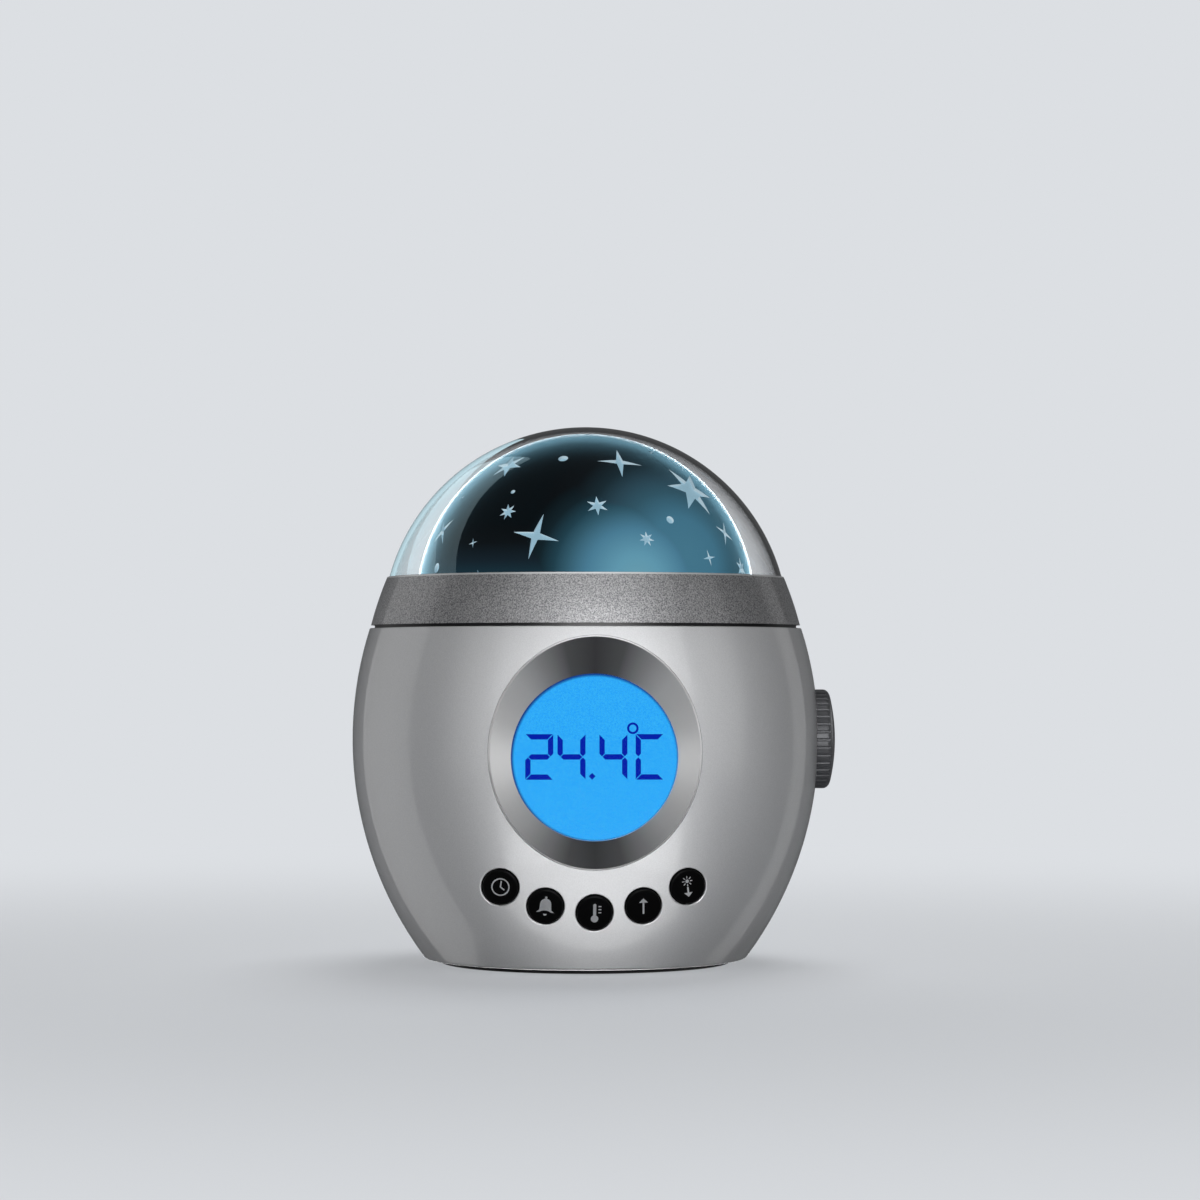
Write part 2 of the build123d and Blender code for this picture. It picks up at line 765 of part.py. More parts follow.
def star_plane(azimuth, elevation):
    """Plane that touches the star dome, with its x direction level."""
    around = radians(azimuth)
    up = radians(elevation)
    outward = Vector(sin(around) * cos(up), -cos(around) * cos(up), sin(up))
    level = Vector(cos(around), sin(around), 0)
    return Plane(Vector(0, 0, star_dome_z) + outward * star_dome_r, x_dir=level, z_dir=outward)


def star_corners(size, points, turn):
    """Corners of a star, from the arm that points up when it isn't turned."""
    found = []
    for step in range(2 * points):
        around = radians(quarter_turn + turn) + pi * step / points
        reach = size / 2 * (star_waists[points] if step % 2 else 1)
        found.append((reach * cos(around), reach * sin(around)))
    return found


star_inner_r = star_dome_r - star_dome_t
with BuildPart() as star_dome:
    with BuildSketch(Plane.XZ):
        with BuildLine():
            Polyline(
                (star_inner_r, star_dome_z),
                (star_inner_r, liner_flange_z),
                (star_dome_r, liner_flange_z),
                (star_dome_r, star_dome_z),
            )
            JernArc((star_dome_r, star_dome_z), (0, 1), star_dome_r, quarter_turn)
            Line((0, star_dome_z + star_dome_r), (0, star_dome_z + star_inner_r))
            JernArc((star_inner_r, star_dome_z), (0, 1), star_inner_r, quarter_turn)
        make_face()
    revolve(axis=Axis.Z)
    for half_turn in (0, 2 * quarter_turn):
        for azimuth, elevation, size in dot_layout:
            with BuildSketch(star_plane(azimuth + half_turn, elevation)):
                Circle(size / 2)
        for points, stars in star_layout.items():
            for azimuth, elevation, size, turn in stars:
                with BuildSketch(star_plane(azimuth + half_turn, elevation)):
                    Polygon(*star_corners(size, points, turn), align=None)
    extrude(amount=star_cut_depth / 2, both=True, mode=Mode.SUBTRACT)
star_dome.part.label = "star_dome"
export_step(star_dome.part, "parts/star_dome.step")

liner_inner_r = liner_r - liner_t
with BuildPart() as dome_liner:
    with BuildSketch(Plane.XZ):
        with BuildLine():
            Polyline(
                (liner_inner_r, star_dome_z),
                (liner_inner_r, deck_top_z),
                (liner_flange_r, deck_top_z),
                (liner_flange_r, liner_flange_z - fit),
                (liner_r, liner_flange_z - fit),
                (liner_r, star_dome_z),
            )
            JernArc((liner_r, star_dome_z), (0, 1), liner_r, quarter_turn)
            Line((0, star_dome_z + liner_r), (0, star_dome_z + liner_inner_r))
            JernArc((liner_inner_r, star_dome_z), (0, 1), liner_inner_r, quarter_turn)
        make_face()
    revolve(axis=Axis.Z)
    with BuildSketch(Plane.XY.offset(deck_top_z)):
        with PolarLocations(dome_screw_ring_r, dome_screw_count):
            Circle(dome_screw_r + fit)
    extrude(amount=liner_flange_t, mode=Mode.SUBTRACT)
dome_liner.part.label = "dome_liner"
export_step(dome_liner.part, "parts/dome_liner.step")

with BuildPart() as dome_screws:
    with PolarLocations(dome_screw_ring_r, dome_screw_count):
        add(Pos(0, 0, liner_flange_z - fit) * pan_screw(dome_screw_len, dome_screw_head_r, dome_screw_r))
dome_screws.part.label = "dome_screws"
export_step(dome_screws.part, "parts/dome_screws.step")

# ================================================================ lamp
lamp_board_z = deck_top_z + lamp_post_h
with BuildPart() as lamp_board:
    with BuildSketch(Plane.XY.offset(lamp_board_z)):
        Circle(lamp_board_r)
        Circle(led_wire_hole_r / 2, mode=Mode.SUBTRACT)
    extrude(amount=lamp_board_t)
lamp_board.part.label = "lamp_board"
export_step(lamp_board.part, "parts/lamp_board.step")


def led(angle):
    """A round-topped lamp that stands on the lamp board."""
    foot_z = lamp_board_z + lamp_board_t
    place = Plane((led_spread_r * cos(radians(angle)), led_spread_r * sin(radians(angle)), foot_z))
    with BuildPart() as lamp:
        with BuildSketch(place):
            Circle(led_rim_r)
        extrude(amount=led_rim_h)
        with BuildSketch(place):
            Circle(led_r)
        extrude(amount=led_h)
        fillet(lamp.edges().sort_by(Axis.Z)[-1], radius=led_top_r)
    return lamp.part


for led_name, led_angle in (("blue_led", 90), ("green_led", 210), ("amber_led", 330)):
    lamp_part = led(led_angle)
    lamp_part.label = led_name
    export_step(lamp_part, f"parts/{led_name}.step")

# ================================================================ display
with BuildPart() as display_bezel:
    add(rim_prism(rim_lip))
    add(dish_space(bezel_t), mode=Mode.INTERSECT)
    add(case_solid(-bezel_proud, base_z, case_top_z), mode=Mode.INTERSECT)
    add(dish_space(0), mode=Mode.SUBTRACT)
    add(front_disc(0, display_z, window_r, lcd_front_depth, window_depth), mode=Mode.SUBTRACT)
display_bezel.part.label = "display_bezel"
export_step(display_bezel.part, "parts/display_bezel.step")

with BuildPart() as display_window:
    add(front_disc(0, display_z, window_r + window_lap, window_back_depth, window_front_depth))
display_window.part.label = "display_window"
export_step(display_window.part, "parts/display_window.step")

with BuildPart() as lcd_glass:
    with BuildSketch(Plane.XZ.offset(lcd_back_depth)):
        with Locations((0, lcd_z)):
            Rectangle(lcd_w, lcd_h)
    extrude(amount=lcd_t)
    chamfer(lcd_glass.edges().filter_by(Axis.Y), length=lcd_t / 4)
lcd_glass.part.label = "lcd_glass"
export_step(lcd_glass.part, "parts/lcd_glass.step")

backlight_z = lcd_z + (lcd_h - backlight_h) / 2 - fit
with BuildPart() as lcd_backlight:
    with BuildSketch(Plane.XZ.offset(backlight_back_depth)):
        with Locations((0, backlight_z)):
            Rectangle(backlight_w, backlight_h)
    extrude(amount=backlight_t)
    chamfer(lcd_backlight.faces().sort_by(Axis.Y)[-1].edges(), length=backlight_t / 6)
lcd_backlight.part.label = "lcd_backlight"
export_step(lcd_backlight.part, "parts/lcd_backlight.step")

pin_z = lcd_z - lcd_h / 2 + pin_edge
pocket_w = lcd_w + 2 * fit
pocket_h = lcd_h + 2 * fit
holder_front_depth = lcd_back_depth + holder_lap
with BuildPart() as lcd_holder:
    with BuildSketch(Plane.XZ.offset(board_depth)):
        with Locations((0, lcd_z)):
            Rectangle(pocket_w + 2 * holder_wall, pocket_h + 2 * holder_wall)
    extrude(amount=holder_front_depth - board_depth)
    chamfer(lcd_holder.edges().filter_by(Axis.Y), length=holder_wall)
    with BuildSketch(Plane.XZ.offset(backlight_back_depth - fit)):
        with Locations((0, lcd_z)):
            Rectangle(pocket_w, pocket_h)
    extrude(amount=holder_front_depth + 2 * fit - backlight_back_depth, mode=Mode.SUBTRACT)
    with BuildSketch(Plane.XZ.offset(board_depth)):
        with Locations((0, backlight_z)):
            Rectangle(backlight_w - 2 * holder_ledge_w, backlight_h - 2 * holder_ledge_w)
        with Locations((0, pin_z)):
            Rectangle(pin_count * pin_pitch, pin_slot_w)
    extrude(amount=backlight_back_depth - board_depth, mode=Mode.SUBTRACT)
lcd_holder.part.label = "lcd_holder"
export_step(lcd_holder.part, "parts/lcd_holder.step")

with BuildPart() as lcd_pins:
    with BuildSketch(Plane.XZ.offset(board_depth)):
        with Locations((0, pin_z)):
            with GridLocations(pin_pitch, 1, pin_count, 1):
                Rectangle(pin_w, pin_w)
    extrude(amount=lcd_back_depth - board_depth)
lcd_pins.part.label = "lcd_pins"
export_step(lcd_pins.part, "parts/lcd_pins.step")

# ================================================================ main board and buttons
with BuildPart() as main_board:
    with BuildSketch(Plane.XZ.offset(board_depth - board_t)):
        with BuildLine():
            Polyline(
                (-board_half_w, board_high_z),
                (-board_half_w, board_low_z + board_corner),
                (-board_half_w + board_corner, board_low_z),
                (board_half_w - board_corner, board_low_z),
                (board_half_w, board_low_z + board_corner),
                (board_half_w, board_high_z),
                close=True,
            )
        make_face()
        with Locations(*board_screw_places):
            Circle(screw_r + screw_fit, mode=Mode.SUBTRACT)
    extrude(amount=board_t)
main_board.part.label = "main_board"
export_step(main_board.part, "parts/main_board.step")

board_screw_turn = Rot(-90, 0, 0)
with BuildPart() as board_screws:
    for x, z in board_screw_places:
        add(Pos(x, board_t - board_depth, z) * board_screw_turn * pan_screw(screw_len))
board_screws.part.label = "board_screws"
export_step(board_screws.part, "parts/board_screws.step")

board_back = Plane.XZ.offset(board_depth - board_t)
with BuildPart() as board_chips:
    with BuildSketch(board_back):
        with Locations((0, chip_z)):
            Rectangle(chip_w, chip_w)
        with Locations((driver_x, driver_z), (-driver_x, driver_z)):
            Rectangle(driver_w, driver_h)
    extrude(amount=-chip_t)
    chamfer(board_chips.faces().sort_by(Axis.Y)[-3:].edges(), length=chip_edge)
    with BuildSketch(board_back):
        with Locations((capacitor_x, capacitor_low_z), (capacitor_x, capacitor_high_z)):
            Circle(capacitor_r)
    extrude(amount=-capacitor_h)
    with BuildSketch(board_back):
        with Locations((crystal_x, crystal_z)):
            SlotOverall(crystal_len, crystal_w)
    extrude(amount=-crystal_t)
board_chips.part.label = "board_chips"
export_step(board_chips.part, "parts/board_chips.step")

with BuildPart() as temp_sensor:
    with BuildSketch(board_back):
        with Locations((sensor_inset - board_half_w, sensor_z)):
            RectangleRounded(sensor_w, sensor_h, sensor_corner_r)
    extrude(amount=-sensor_t)
temp_sensor.part.label = "temp_sensor"
export_step(temp_sensor.part, "parts/temp_sensor.step")

with BuildPart() as tact_switches:
    with BuildSketch(Plane.XZ.offset(board_depth)):
        with Locations(*button_places.values()):
            Rectangle(switch_w, switch_w)
    extrude(amount=switch_h)
    with BuildSketch(Plane.XZ.offset(switch_depth)):
        with Locations(*button_places.values()):
            Circle(plunger_r + bearing_fit)
    extrude(amount=-(plunger_in + button_travel + gap), mode=Mode.SUBTRACT)
tact_switches.part.label = "tact_switches"
export_step(tact_switches.part, "parts/tact_switches.step")

for button_name, (x, z) in button_places.items():
    flange_depth = guide_depth(x, z) - gap
    with BuildPart() as cap:
        add(front_disc(x, z, button_r, flange_depth, belly_r))
        add(case_solid(-button_proud, base_z, case_top_z), mode=Mode.INTERSECT)
        fillet(cap.faces().sort_by(Axis.Y)[0].edges(), radius=button_edge_r)
        add(front_disc(x, z, button_r + button_flange_w, flange_depth - button_flange_t, flange_depth))
        add(front_disc(x, z, button_stem_r, plunger_depth, flange_depth))
    cap.part.label = f"{button_name}_button"
    export_step(cap.part, f"parts/{button_name}_button.step")

    with BuildPart() as plunger:
        add(front_disc(x, z, plunger_r, switch_depth - plunger_in, plunger_depth))
    plunger.part.label = f"{button_name}_plunger"
    export_step(plunger.part, f"parts/{button_name}_plunger.step")

# ================================================================ side knob
knob_axis = Axis((0, 0, knob_z), (1, 0, 0))
knob_back_x = pocket_x + gap
knob_edge_x = belly_r + knob_side_h
bushing_end_x = pocket_x + bushing_out
shaft_end_x = bushing_end_x + knob_recess_gap + shaft_grip
with BuildPart() as side_knob:
    with BuildSketch(Plane.XZ):
        with BuildLine():
            Polyline(
                (belly_r + knob_out, knob_z),
                (knob_back_x, knob_z),
                (knob_back_x, knob_z + knob_r),
                (knob_edge_x, knob_z + knob_r),
            )
            JernArc(
                start=(knob_edge_x, knob_z + knob_r),
                tangent=(1, 0),
                radius=knob_edge_r,
                arc_size=-knob_edge_arc,
            )
            edge_end_x = knob_edge_x + knob_edge_r * sin(radians(knob_edge_arc))
            edge_end_z = knob_z + knob_r - knob_edge_r * (1 - cos(radians(knob_edge_arc)))
            TangentArc(
                (belly_r + knob_out, knob_z),
                (edge_end_x, edge_end_z),
                tangent=(0, 1),
                tangent_from_first=True,
            )
        make_face()
    revolve(axis=knob_axis)
    with BuildSketch(Plane.YZ.offset(knob_back_x)):
        with Locations((0, knob_z)):
            with PolarLocations(knob_r + knob_flute_r - knob_flute_depth, knob_flutes):
                Circle(knob_flute_r)
    extrude(amount=belly_r + knob_out - knob_back_x, mode=Mode.SUBTRACT)
    with BuildSketch(Plane.YZ.offset(belly_r + knob_out)):
        with Locations((0, knob_z + knob_r - knob_mark_len / 2 - knob_edge_r)):
            SlotOverall(knob_mark_len, knob_mark_w, rotation=90)
    extrude(amount=-knob_mark_floor, mode=Mode.SUBTRACT)
    add(side_disc(knob_recess_r, knob_back_x, bushing_end_x + knob_recess_gap), mode=Mode.SUBTRACT)
    add(side_disc(shaft_r + fit / 2, knob_back_x, shaft_end_x + fit), mode=Mode.SUBTRACT)
side_knob.part.label = "side_knob"
export_step(side_knob.part, "parts/side_knob.step")

rotary_back_x = pad_x - rotary_t
with BuildPart() as knob_shaft:
    add(side_disc(shaft_r, rotary_back_x + rotary_floor + fit, shaft_end_x))
    chamfer(knob_shaft.faces().sort_by(Axis.X)[-1].edges(), length=shaft_r / 8)
knob_shaft.part.label = "knob_shaft"
export_step(knob_shaft.part, "parts/knob_shaft.step")

with BuildPart() as rotary_switch:
    with BuildSketch(Plane.YZ.offset(rotary_back_x)):
        with Locations((0, knob_z)):
            Rectangle(rotary_w, rotary_w)
    extrude(amount=rotary_t)
    chamfer(rotary_switch.edges().filter_by(Axis.X), length=rotary_w / 8)
    add(side_disc(bushing_r, pad_x, bushing_end_x))
    bore = side_disc(shaft_r + bearing_fit, rotary_back_x + rotary_floor, bushing_end_x)
    add(bore, mode=Mode.SUBTRACT)
    with BuildSketch(Plane.YZ.offset(rotary_back_x)):
        with Locations((0, knob_z - rotary_w / 4)):
            with GridLocations(rotary_w / 4, 1, terminal_count, 1):
                Rectangle(terminal_w, terminal_t)
    extrude(amount=-terminal_len)
rotary_switch.part.label = "rotary_switch"
export_step(rotary_switch.part, "parts/rotary_switch.step")

with BuildPart() as switch_nut:
    with BuildSketch(Plane.YZ.offset(pocket_x)):
        with Locations((0, knob_z)):
            RegularPolygon(nut_w / 2, 6, major_radius=False)
            Circle(bushing_r + bearing_fit, mode=Mode.SUBTRACT)
    extrude(amount=nut_t)
switch_nut.part.label = "switch_nut"
export_step(switch_nut.part, "parts/switch_nut.step")

# ================================================================ base plate and battery bay
door_screw_places = [(0, door_screw_y), (0, -door_screw_y)]


def door_outline(margin):
    """Draw the battery door's outline in the open sketch, grown by a margin."""
    RectangleRounded(door_w + 2 * margin, door_len + 2 * margin, door_corner_r + margin)
    with Locations(*door_screw_places):
        Circle(door_lobe_r + margin)


with BuildPart() as base_plate:
    with BuildSketch(Plane.XY.offset(base_z)):
        Circle(base_plate_r)
    extrude(amount=base_t)
    with BuildSketch(Plane.XY.offset(base_top_z)):
        Rectangle(bay_w + 2 * bay_wall, bay_len + 2 * bay_wall)
    extrude(amount=bay_roof_z + bay_wall - base_top_z)
    with BuildSketch(Plane.XY.offset(base_top_z)):
        with Locations(*door_screw_places):
            Circle(door_boss_r)
    extrude(amount=door_boss_h)
    with BuildSketch(Plane.XY.offset(base_z)):
        Rectangle(bay_w, bay_len)
    extrude(amount=bay_roof_z - base_z, mode=Mode.SUBTRACT)
    with BuildSketch(Plane.XY.offset(base_z)):
        door_outline(gap)
    extrude(amount=door_t + gap, mode=Mode.SUBTRACT)
    with BuildSketch(Plane.XY.offset(base_z)):
        with Locations(*door_screw_places):
            Circle(screw_r + gap)
    extrude(amount=base_t + door_boss_h - door_boss_roof, mode=Mode.SUBTRACT)
    # groove for the foot, and sunk holes for the base screws
    with BuildSketch(Plane.XY.offset(base_z)):
        Circle(foot_outer_r + fit)
        Circle(foot_inner_r - fit, mode=Mode.SUBTRACT)
    extrude(amount=foot_sunk, mode=Mode.SUBTRACT)
    with BuildSketch(Plane.XY.offset(base_z)):
        with Locations(*base_screw_places):
            Circle(screw_r + screw_fit)
    extrude(amount=base_t, mode=Mode.SUBTRACT)
    with BuildSketch(Plane.XY.offset(base_z)):
        with Locations(*base_screw_places):
            Circle(screw_head_r + screw_fit)
    extrude(amount=screw_head_h, mode=Mode.SUBTRACT)
base_plate.part.label = "base_plate"
export_step(base_plate.part, "parts/base_plate.step")

with BuildPart() as base_screws:
    for x, y in base_screw_places:
        add(Pos(x, y, base_z + screw_head_h) * Rot(180, 0, 0) * pan_screw(screw_len))
base_screws.part.label = "base_screws"
export_step(base_screws.part, "parts/base_screws.step")

with BuildPart() as foot_ring:
    with BuildSketch():
        Circle(foot_outer_r)
        Circle(foot_inner_r, mode=Mode.SUBTRACT)
    extrude(amount=base_z + foot_sunk)
    fillet(foot_ring.edges().group_by(Axis.Z)[0], radius=foot_w / 8)
foot_ring.part.label = "foot_ring"
export_step(foot_ring.part, "parts/foot_ring.step")

with BuildPart() as battery_door:
    with BuildSketch(Plane.XY.offset(door_low_z)):
        door_outline(0)
    extrude(amount=door_t)
    with BuildSketch(Plane.XY.offset(door_low_z)):
        with Locations(*door_screw_places):
            Circle(screw_r + screw_fit)
    extrude(amount=door_t, mode=Mode.SUBTRACT)
    with BuildSketch(Plane.XY.offset(door_low_z)):
        with Locations(*door_screw_places):
            Circle(screw_head_r + screw_fit)
    extrude(amount=door_t / 2, mode=Mode.SUBTRACT)
    # grip lines across the door's outside
    with BuildSketch(Plane.XY.offset(door_low_z)):
        with GridLocations(1, grip_pitch, 1, grip_count):
            SlotOverall(grip_len, grip_w)
    extrude(amount=door_t / 4, mode=Mode.SUBTRACT)
battery_door.part.label = "battery_door"
export_step(battery_door.part, "parts/battery_door.step")

door_screw_len = door_t / 2 + gap + door_screw_grip
with BuildPart() as door_screws:
    for x, y in door_screw_places:
        add(Pos(x, y, door_low_z + door_t / 2) * Rot(180, 0, 0) * pan_screw(door_screw_len))
    with BuildSketch(Plane.XY.offset(door_low_z)):
        Rectangle(2 * belly_r, 2 * belly_r)
    extrude(amount=-screw_head_h, mode=Mode.SUBTRACT)
door_screws.part.label = "door_screws"
export_step(door_screws.part, "parts/door_screws.step")

cell_rows = []
for index in range(cell_count):
    offset_x = (index - (cell_count - 1) / 2) * cell_pitch
    cell_rows.append((offset_x, 1 if index % 2 == 0 else -1))
cell_shift = bay_len / 2 - contact_t - cell_len / 2 - cell_play

with BuildPart() as battery_cells:
    for offset_x, facing in cell_rows:
        nub_y = facing * (cell_shift + cell_len / 2)
        shoulder_y = nub_y - facing * cell_nub_h
        tail_y = nub_y - facing * cell_len
        with BuildSketch(Plane.YZ.offset(offset_x)):
            with BuildLine():
                Polyline(
                    (tail_y, cell_z),
                    (tail_y, cell_z + cell_r),
                    (shoulder_y, cell_z + cell_r),
                    (shoulder_y, cell_z + cell_nub_r),
                    (nub_y, cell_z + cell_nub_r),
                    (nub_y, cell_z),
                    close=True,
                )
            make_face()
        revolve(axis=Axis((offset_x, 0, cell_z), (0, 1, 0)))
battery_cells.part.label = "battery_cells"
export_step(battery_cells.part, "parts/battery_cells.step")

with BuildPart() as contact_plates:
    for offset_x, facing in cell_rows:
        for end in (-1, 1):
            with BuildSketch(Plane.XZ.offset(end * bay_len / 2)):
                with Locations((offset_x, cell_z)):
                    Rectangle(contact_w, contact_w)
            extrude(amount=-end * contact_t)
contact_plates.part.label = "contact_plates"
export_step(contact_plates.part, "parts/contact_plates.step")

with BuildPart() as battery_springs:
    for offset_x, facing in cell_rows:
        plate_y = -facing * (bay_len / 2 - contact_t)
        tail_y = facing * (cell_shift - cell_len / 2)
        step_y = (tail_y - plate_y - facing * fit) / (2 * spring_turns)
        with BuildSketch(Plane.YZ.offset(offset_x)):
            with BuildLine():
                edge = [(plate_y, cell_z)]
                for turn in range(spring_turns):
                    ring_r = spring_r - turn * spring_wire / 2
                    near_y = plate_y + 2 * turn * step_y
                    edge.append((near_y, cell_z + ring_r))
                    edge.append((near_y + step_y, cell_z + ring_r))
                    edge.append((near_y + step_y, cell_z + ring_r - spring_wire))
                    edge.append((near_y + 2 * step_y, cell_z + ring_r - spring_wire))
                edge.append((plate_y + 2 * spring_turns * step_y, cell_z))
                Polyline(*edge, close=True)
            make_face()
        revolve(axis=Axis((offset_x, 0, cell_z), (0, 1, 0)))
battery_springs.part.label = "battery_springs"
export_step(battery_springs.part, "parts/battery_springs.step")
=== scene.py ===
from math import cos, pi, radians, sin

import bpy
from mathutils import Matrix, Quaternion, Vector
from mathutils.bvhtree import BVHTree


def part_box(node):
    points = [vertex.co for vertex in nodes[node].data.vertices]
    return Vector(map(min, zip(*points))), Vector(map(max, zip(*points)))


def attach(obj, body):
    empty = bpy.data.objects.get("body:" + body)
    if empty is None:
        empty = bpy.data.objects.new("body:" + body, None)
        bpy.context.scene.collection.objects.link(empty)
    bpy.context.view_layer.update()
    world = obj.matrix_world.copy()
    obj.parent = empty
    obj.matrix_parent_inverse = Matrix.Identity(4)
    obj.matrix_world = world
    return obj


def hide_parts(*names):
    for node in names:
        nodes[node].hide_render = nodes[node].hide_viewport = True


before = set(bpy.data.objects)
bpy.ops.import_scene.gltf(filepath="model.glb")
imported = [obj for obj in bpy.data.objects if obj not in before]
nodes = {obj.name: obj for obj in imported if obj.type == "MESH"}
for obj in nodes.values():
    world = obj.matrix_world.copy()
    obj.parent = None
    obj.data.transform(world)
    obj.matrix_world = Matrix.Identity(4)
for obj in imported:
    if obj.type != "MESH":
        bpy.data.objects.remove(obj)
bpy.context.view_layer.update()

# Finishes, turned and wound pieces, display digits, printed signs and studio of the star night light.
# Lengths are metres, written as millimetres times MM.
MM = 0.001


# ---------------------------------------------------------------- helpers
def linear(hex_colour):
    """Turn an sRGB hex colour such as "#C9CACC" into linear red, green, blue and 1."""
    channels = []
    for start in (1, 3, 5):
        value = int(hex_colour[start:start + 2], 16) / 255
        channels.append(value / 12.92 if value <= 0.04045 else ((value + 0.055) / 1.055) ** 2.4)
    return (*channels, 1.0)


def add_object(name, data):
    """A new object in the scene."""
    thing = bpy.data.objects.new(name, data)
    bpy.context.scene.collection.objects.link(thing)
    return thing


def add_node(tree, kind, inputs=(), stops=(), **settings):
    """Add a node with its settings. An input is a value, a socket, or a node for its first output;
    stops are the places and hex colours of a colour ramp."""
    node = tree.nodes.new(kind)
    for name, value in settings.items():
        setattr(node, name, value)
    for socket, value in inputs.items() if isinstance(inputs, dict) else enumerate(inputs):
        if isinstance(value, bpy.types.Node):
            value = value.outputs[0]
        if isinstance(value, bpy.types.NodeSocket):
            tree.links.new(value, node.inputs[socket])
        else:
            node.inputs[socket].default_value = value
    if stops:
        elements = node.color_ramp.elements
        while len(elements) < len(stops):
            elements.new(1.0)
        for element, (place, colour) in zip(elements, stops):
            element.position = place
            element.color = linear(colour)
    return node


def new_finish(name, colour, **sockets):
    """A material with one Principled shader in that colour; returns it, its tree and the shader."""
    material = bpy.data.materials.new(name)
    material.use_nodes = True
    tree = material.node_tree
    tree.nodes.clear()
    values = {"Base Color": linear(colour)}
    for socket, value in sockets.items():
        values[socket.replace("_", " ")] = value
    shader = add_node(tree, "ShaderNodeBsdfPrincipled", values)
    add_node(tree, "ShaderNodeOutputMaterial", {"Surface": shader})
    return material, tree, shader


# ---------------------------------------------------------------- sizes read from the frame
window_low, window_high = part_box("display_window")
window_x = (window_low.x + window_high.x) / 2
window_z = (window_low.z + window_high.z) / 2
WINDOW_LAP = 1.6 * MM      # the window reaches this far under the bezel
WINDOW_GAP = 0.05 * MM     # air between the window and the bezel
BEZEL_T = 1.3 * MM
DISH_SLOPE = 1.75          # radius that the dish gains for each length forwards
window_r = (window_high.x - window_low.x) / 2 - WINDOW_LAP
dish_y = window_low.y - WINDOW_GAP - BEZEL_T
window_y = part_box("lcd_glass")[0].y
dome_low, dome_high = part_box("star_dome")
star_dome_r = (dome_high.x - dome_low.x) / 2
star_dome_z = dome_high.z - star_dome_r
ring_top_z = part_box("trim_ring")[1].z


# ---------------------------------------------------------------- finishes
# Map Range takes a number, its low and high end, and what these become. A colour Mix has its share in
# socket 0 and its colours in 6 and 7, and gives output 2. Real flakes and film grain measure a few
# hundredths of a millimetre, too fine to show, so they are drawn as coarse as these sizes.
LACQUER_FLAKE = 0.25 * MM
PAINT_FLAKE = 0.32 * MM
FILM_GRAIN = 0.45 * MM
PAINT_RELIEF = 0.03 * MM
PAINT_BUMP = 0.35                      # how much of that relief the light picks out
RING_LIP_HIGHLIGHT = (-0.5 * MM, -0.42 * MM)     # from the ring's top: where the painted highlight on its lip fades in
DISH_LIP_HIGHLIGHT = (0.06 * MM, 0.1 * MM)       # behind the cone's face: where the painted highlight on its lip fades in
DISH_PAINTED_SHADE = 0.62                      # painted shade on the cone below the window, as its tone with 1 above it
FOOT_GLOW_H = 14 * MM                  # height of the painted glow at the foot of the shade
STAR_WALL = (-0.06 * MM, -0.03 * MM)   # from the shade's outside: where the cut walls begin
WALL_SHADED_WAY = (0.55, 0.0, 0.83)         # painted shade: cut walls that face this way glow darker, the others lighter
WALL_LEAN = 0.6                        # cosine to that way at which a wall is fully light or dark
SHADE_GLOSS = (0.35, 0.7, 0.02, 0.6)   # turned away by 0.35 to 0.7, the shade's gloss is 0.02 to 0.6
DISPLAY_SHADOW_EDGE = (-0.8 * MM, 0.1 * MM)   # from the window's rim: where the painted shadow of the bezel darkens the display's edge
DISPLAY_SHADOW_SHIFT = 0.25 * MM              # the painted shadow's centre lies this far to the right and down
STAR_LIGHT = "#8FB3C4"
PAINTED_POOLS = (                  # painted pools of lamp light: centre and reach in millimetres, colours from the middle outwards
    ((11.0, -42.0, 99.0), 30.0, (
        (0.0, "#6BA1B3"), (0.2, "#629BB2"), (0.43, "#4B7F98"), (0.6, "#335B6C"), (0.7, "#20404D"),
        (0.83, "#112229"), (1.0, "#050C10"),
    )),
    ((23.0, -34.0, 105.0), 40.0, (
        (0.0, "#46798F"), (0.25, "#42748B"), (0.43, "#325767"), (0.55, "#294451"), (0.66, "#182A32"),
        (0.8, "#0A1014"), (1.0, "#04070A"),
    )),
)


def pearl_silver_lacquer():
    """Silver flake lacquer under gloss clear coat on moulded ABS: bright face on, dark to the sides."""
    material, tree, shader = new_finish(
        "pearl_silver_lacquer", "#D1D2D4", Metallic=0.6, Roughness=0.42, Coat_Weight=1.0,
        Coat_Roughness=0.03, Coat_IOR=1.6,
    )
    here = add_node(tree, "ShaderNodeTexCoord").outputs["Object"]
    flakes = add_node(
        tree, "ShaderNodeTexNoise", {"Vector": here, "Scale": 1 / LACQUER_FLAKE, "Detail": 2.0},
    )
    colour = add_node(
        tree, "ShaderNodeValToRGB", (flakes,), stops=((0.3, "#CBCCCE"), (0.7, "#D6D7D9")),
    )
    tree.links.new(colour.outputs[0], shader.inputs["Base Color"])
    return material


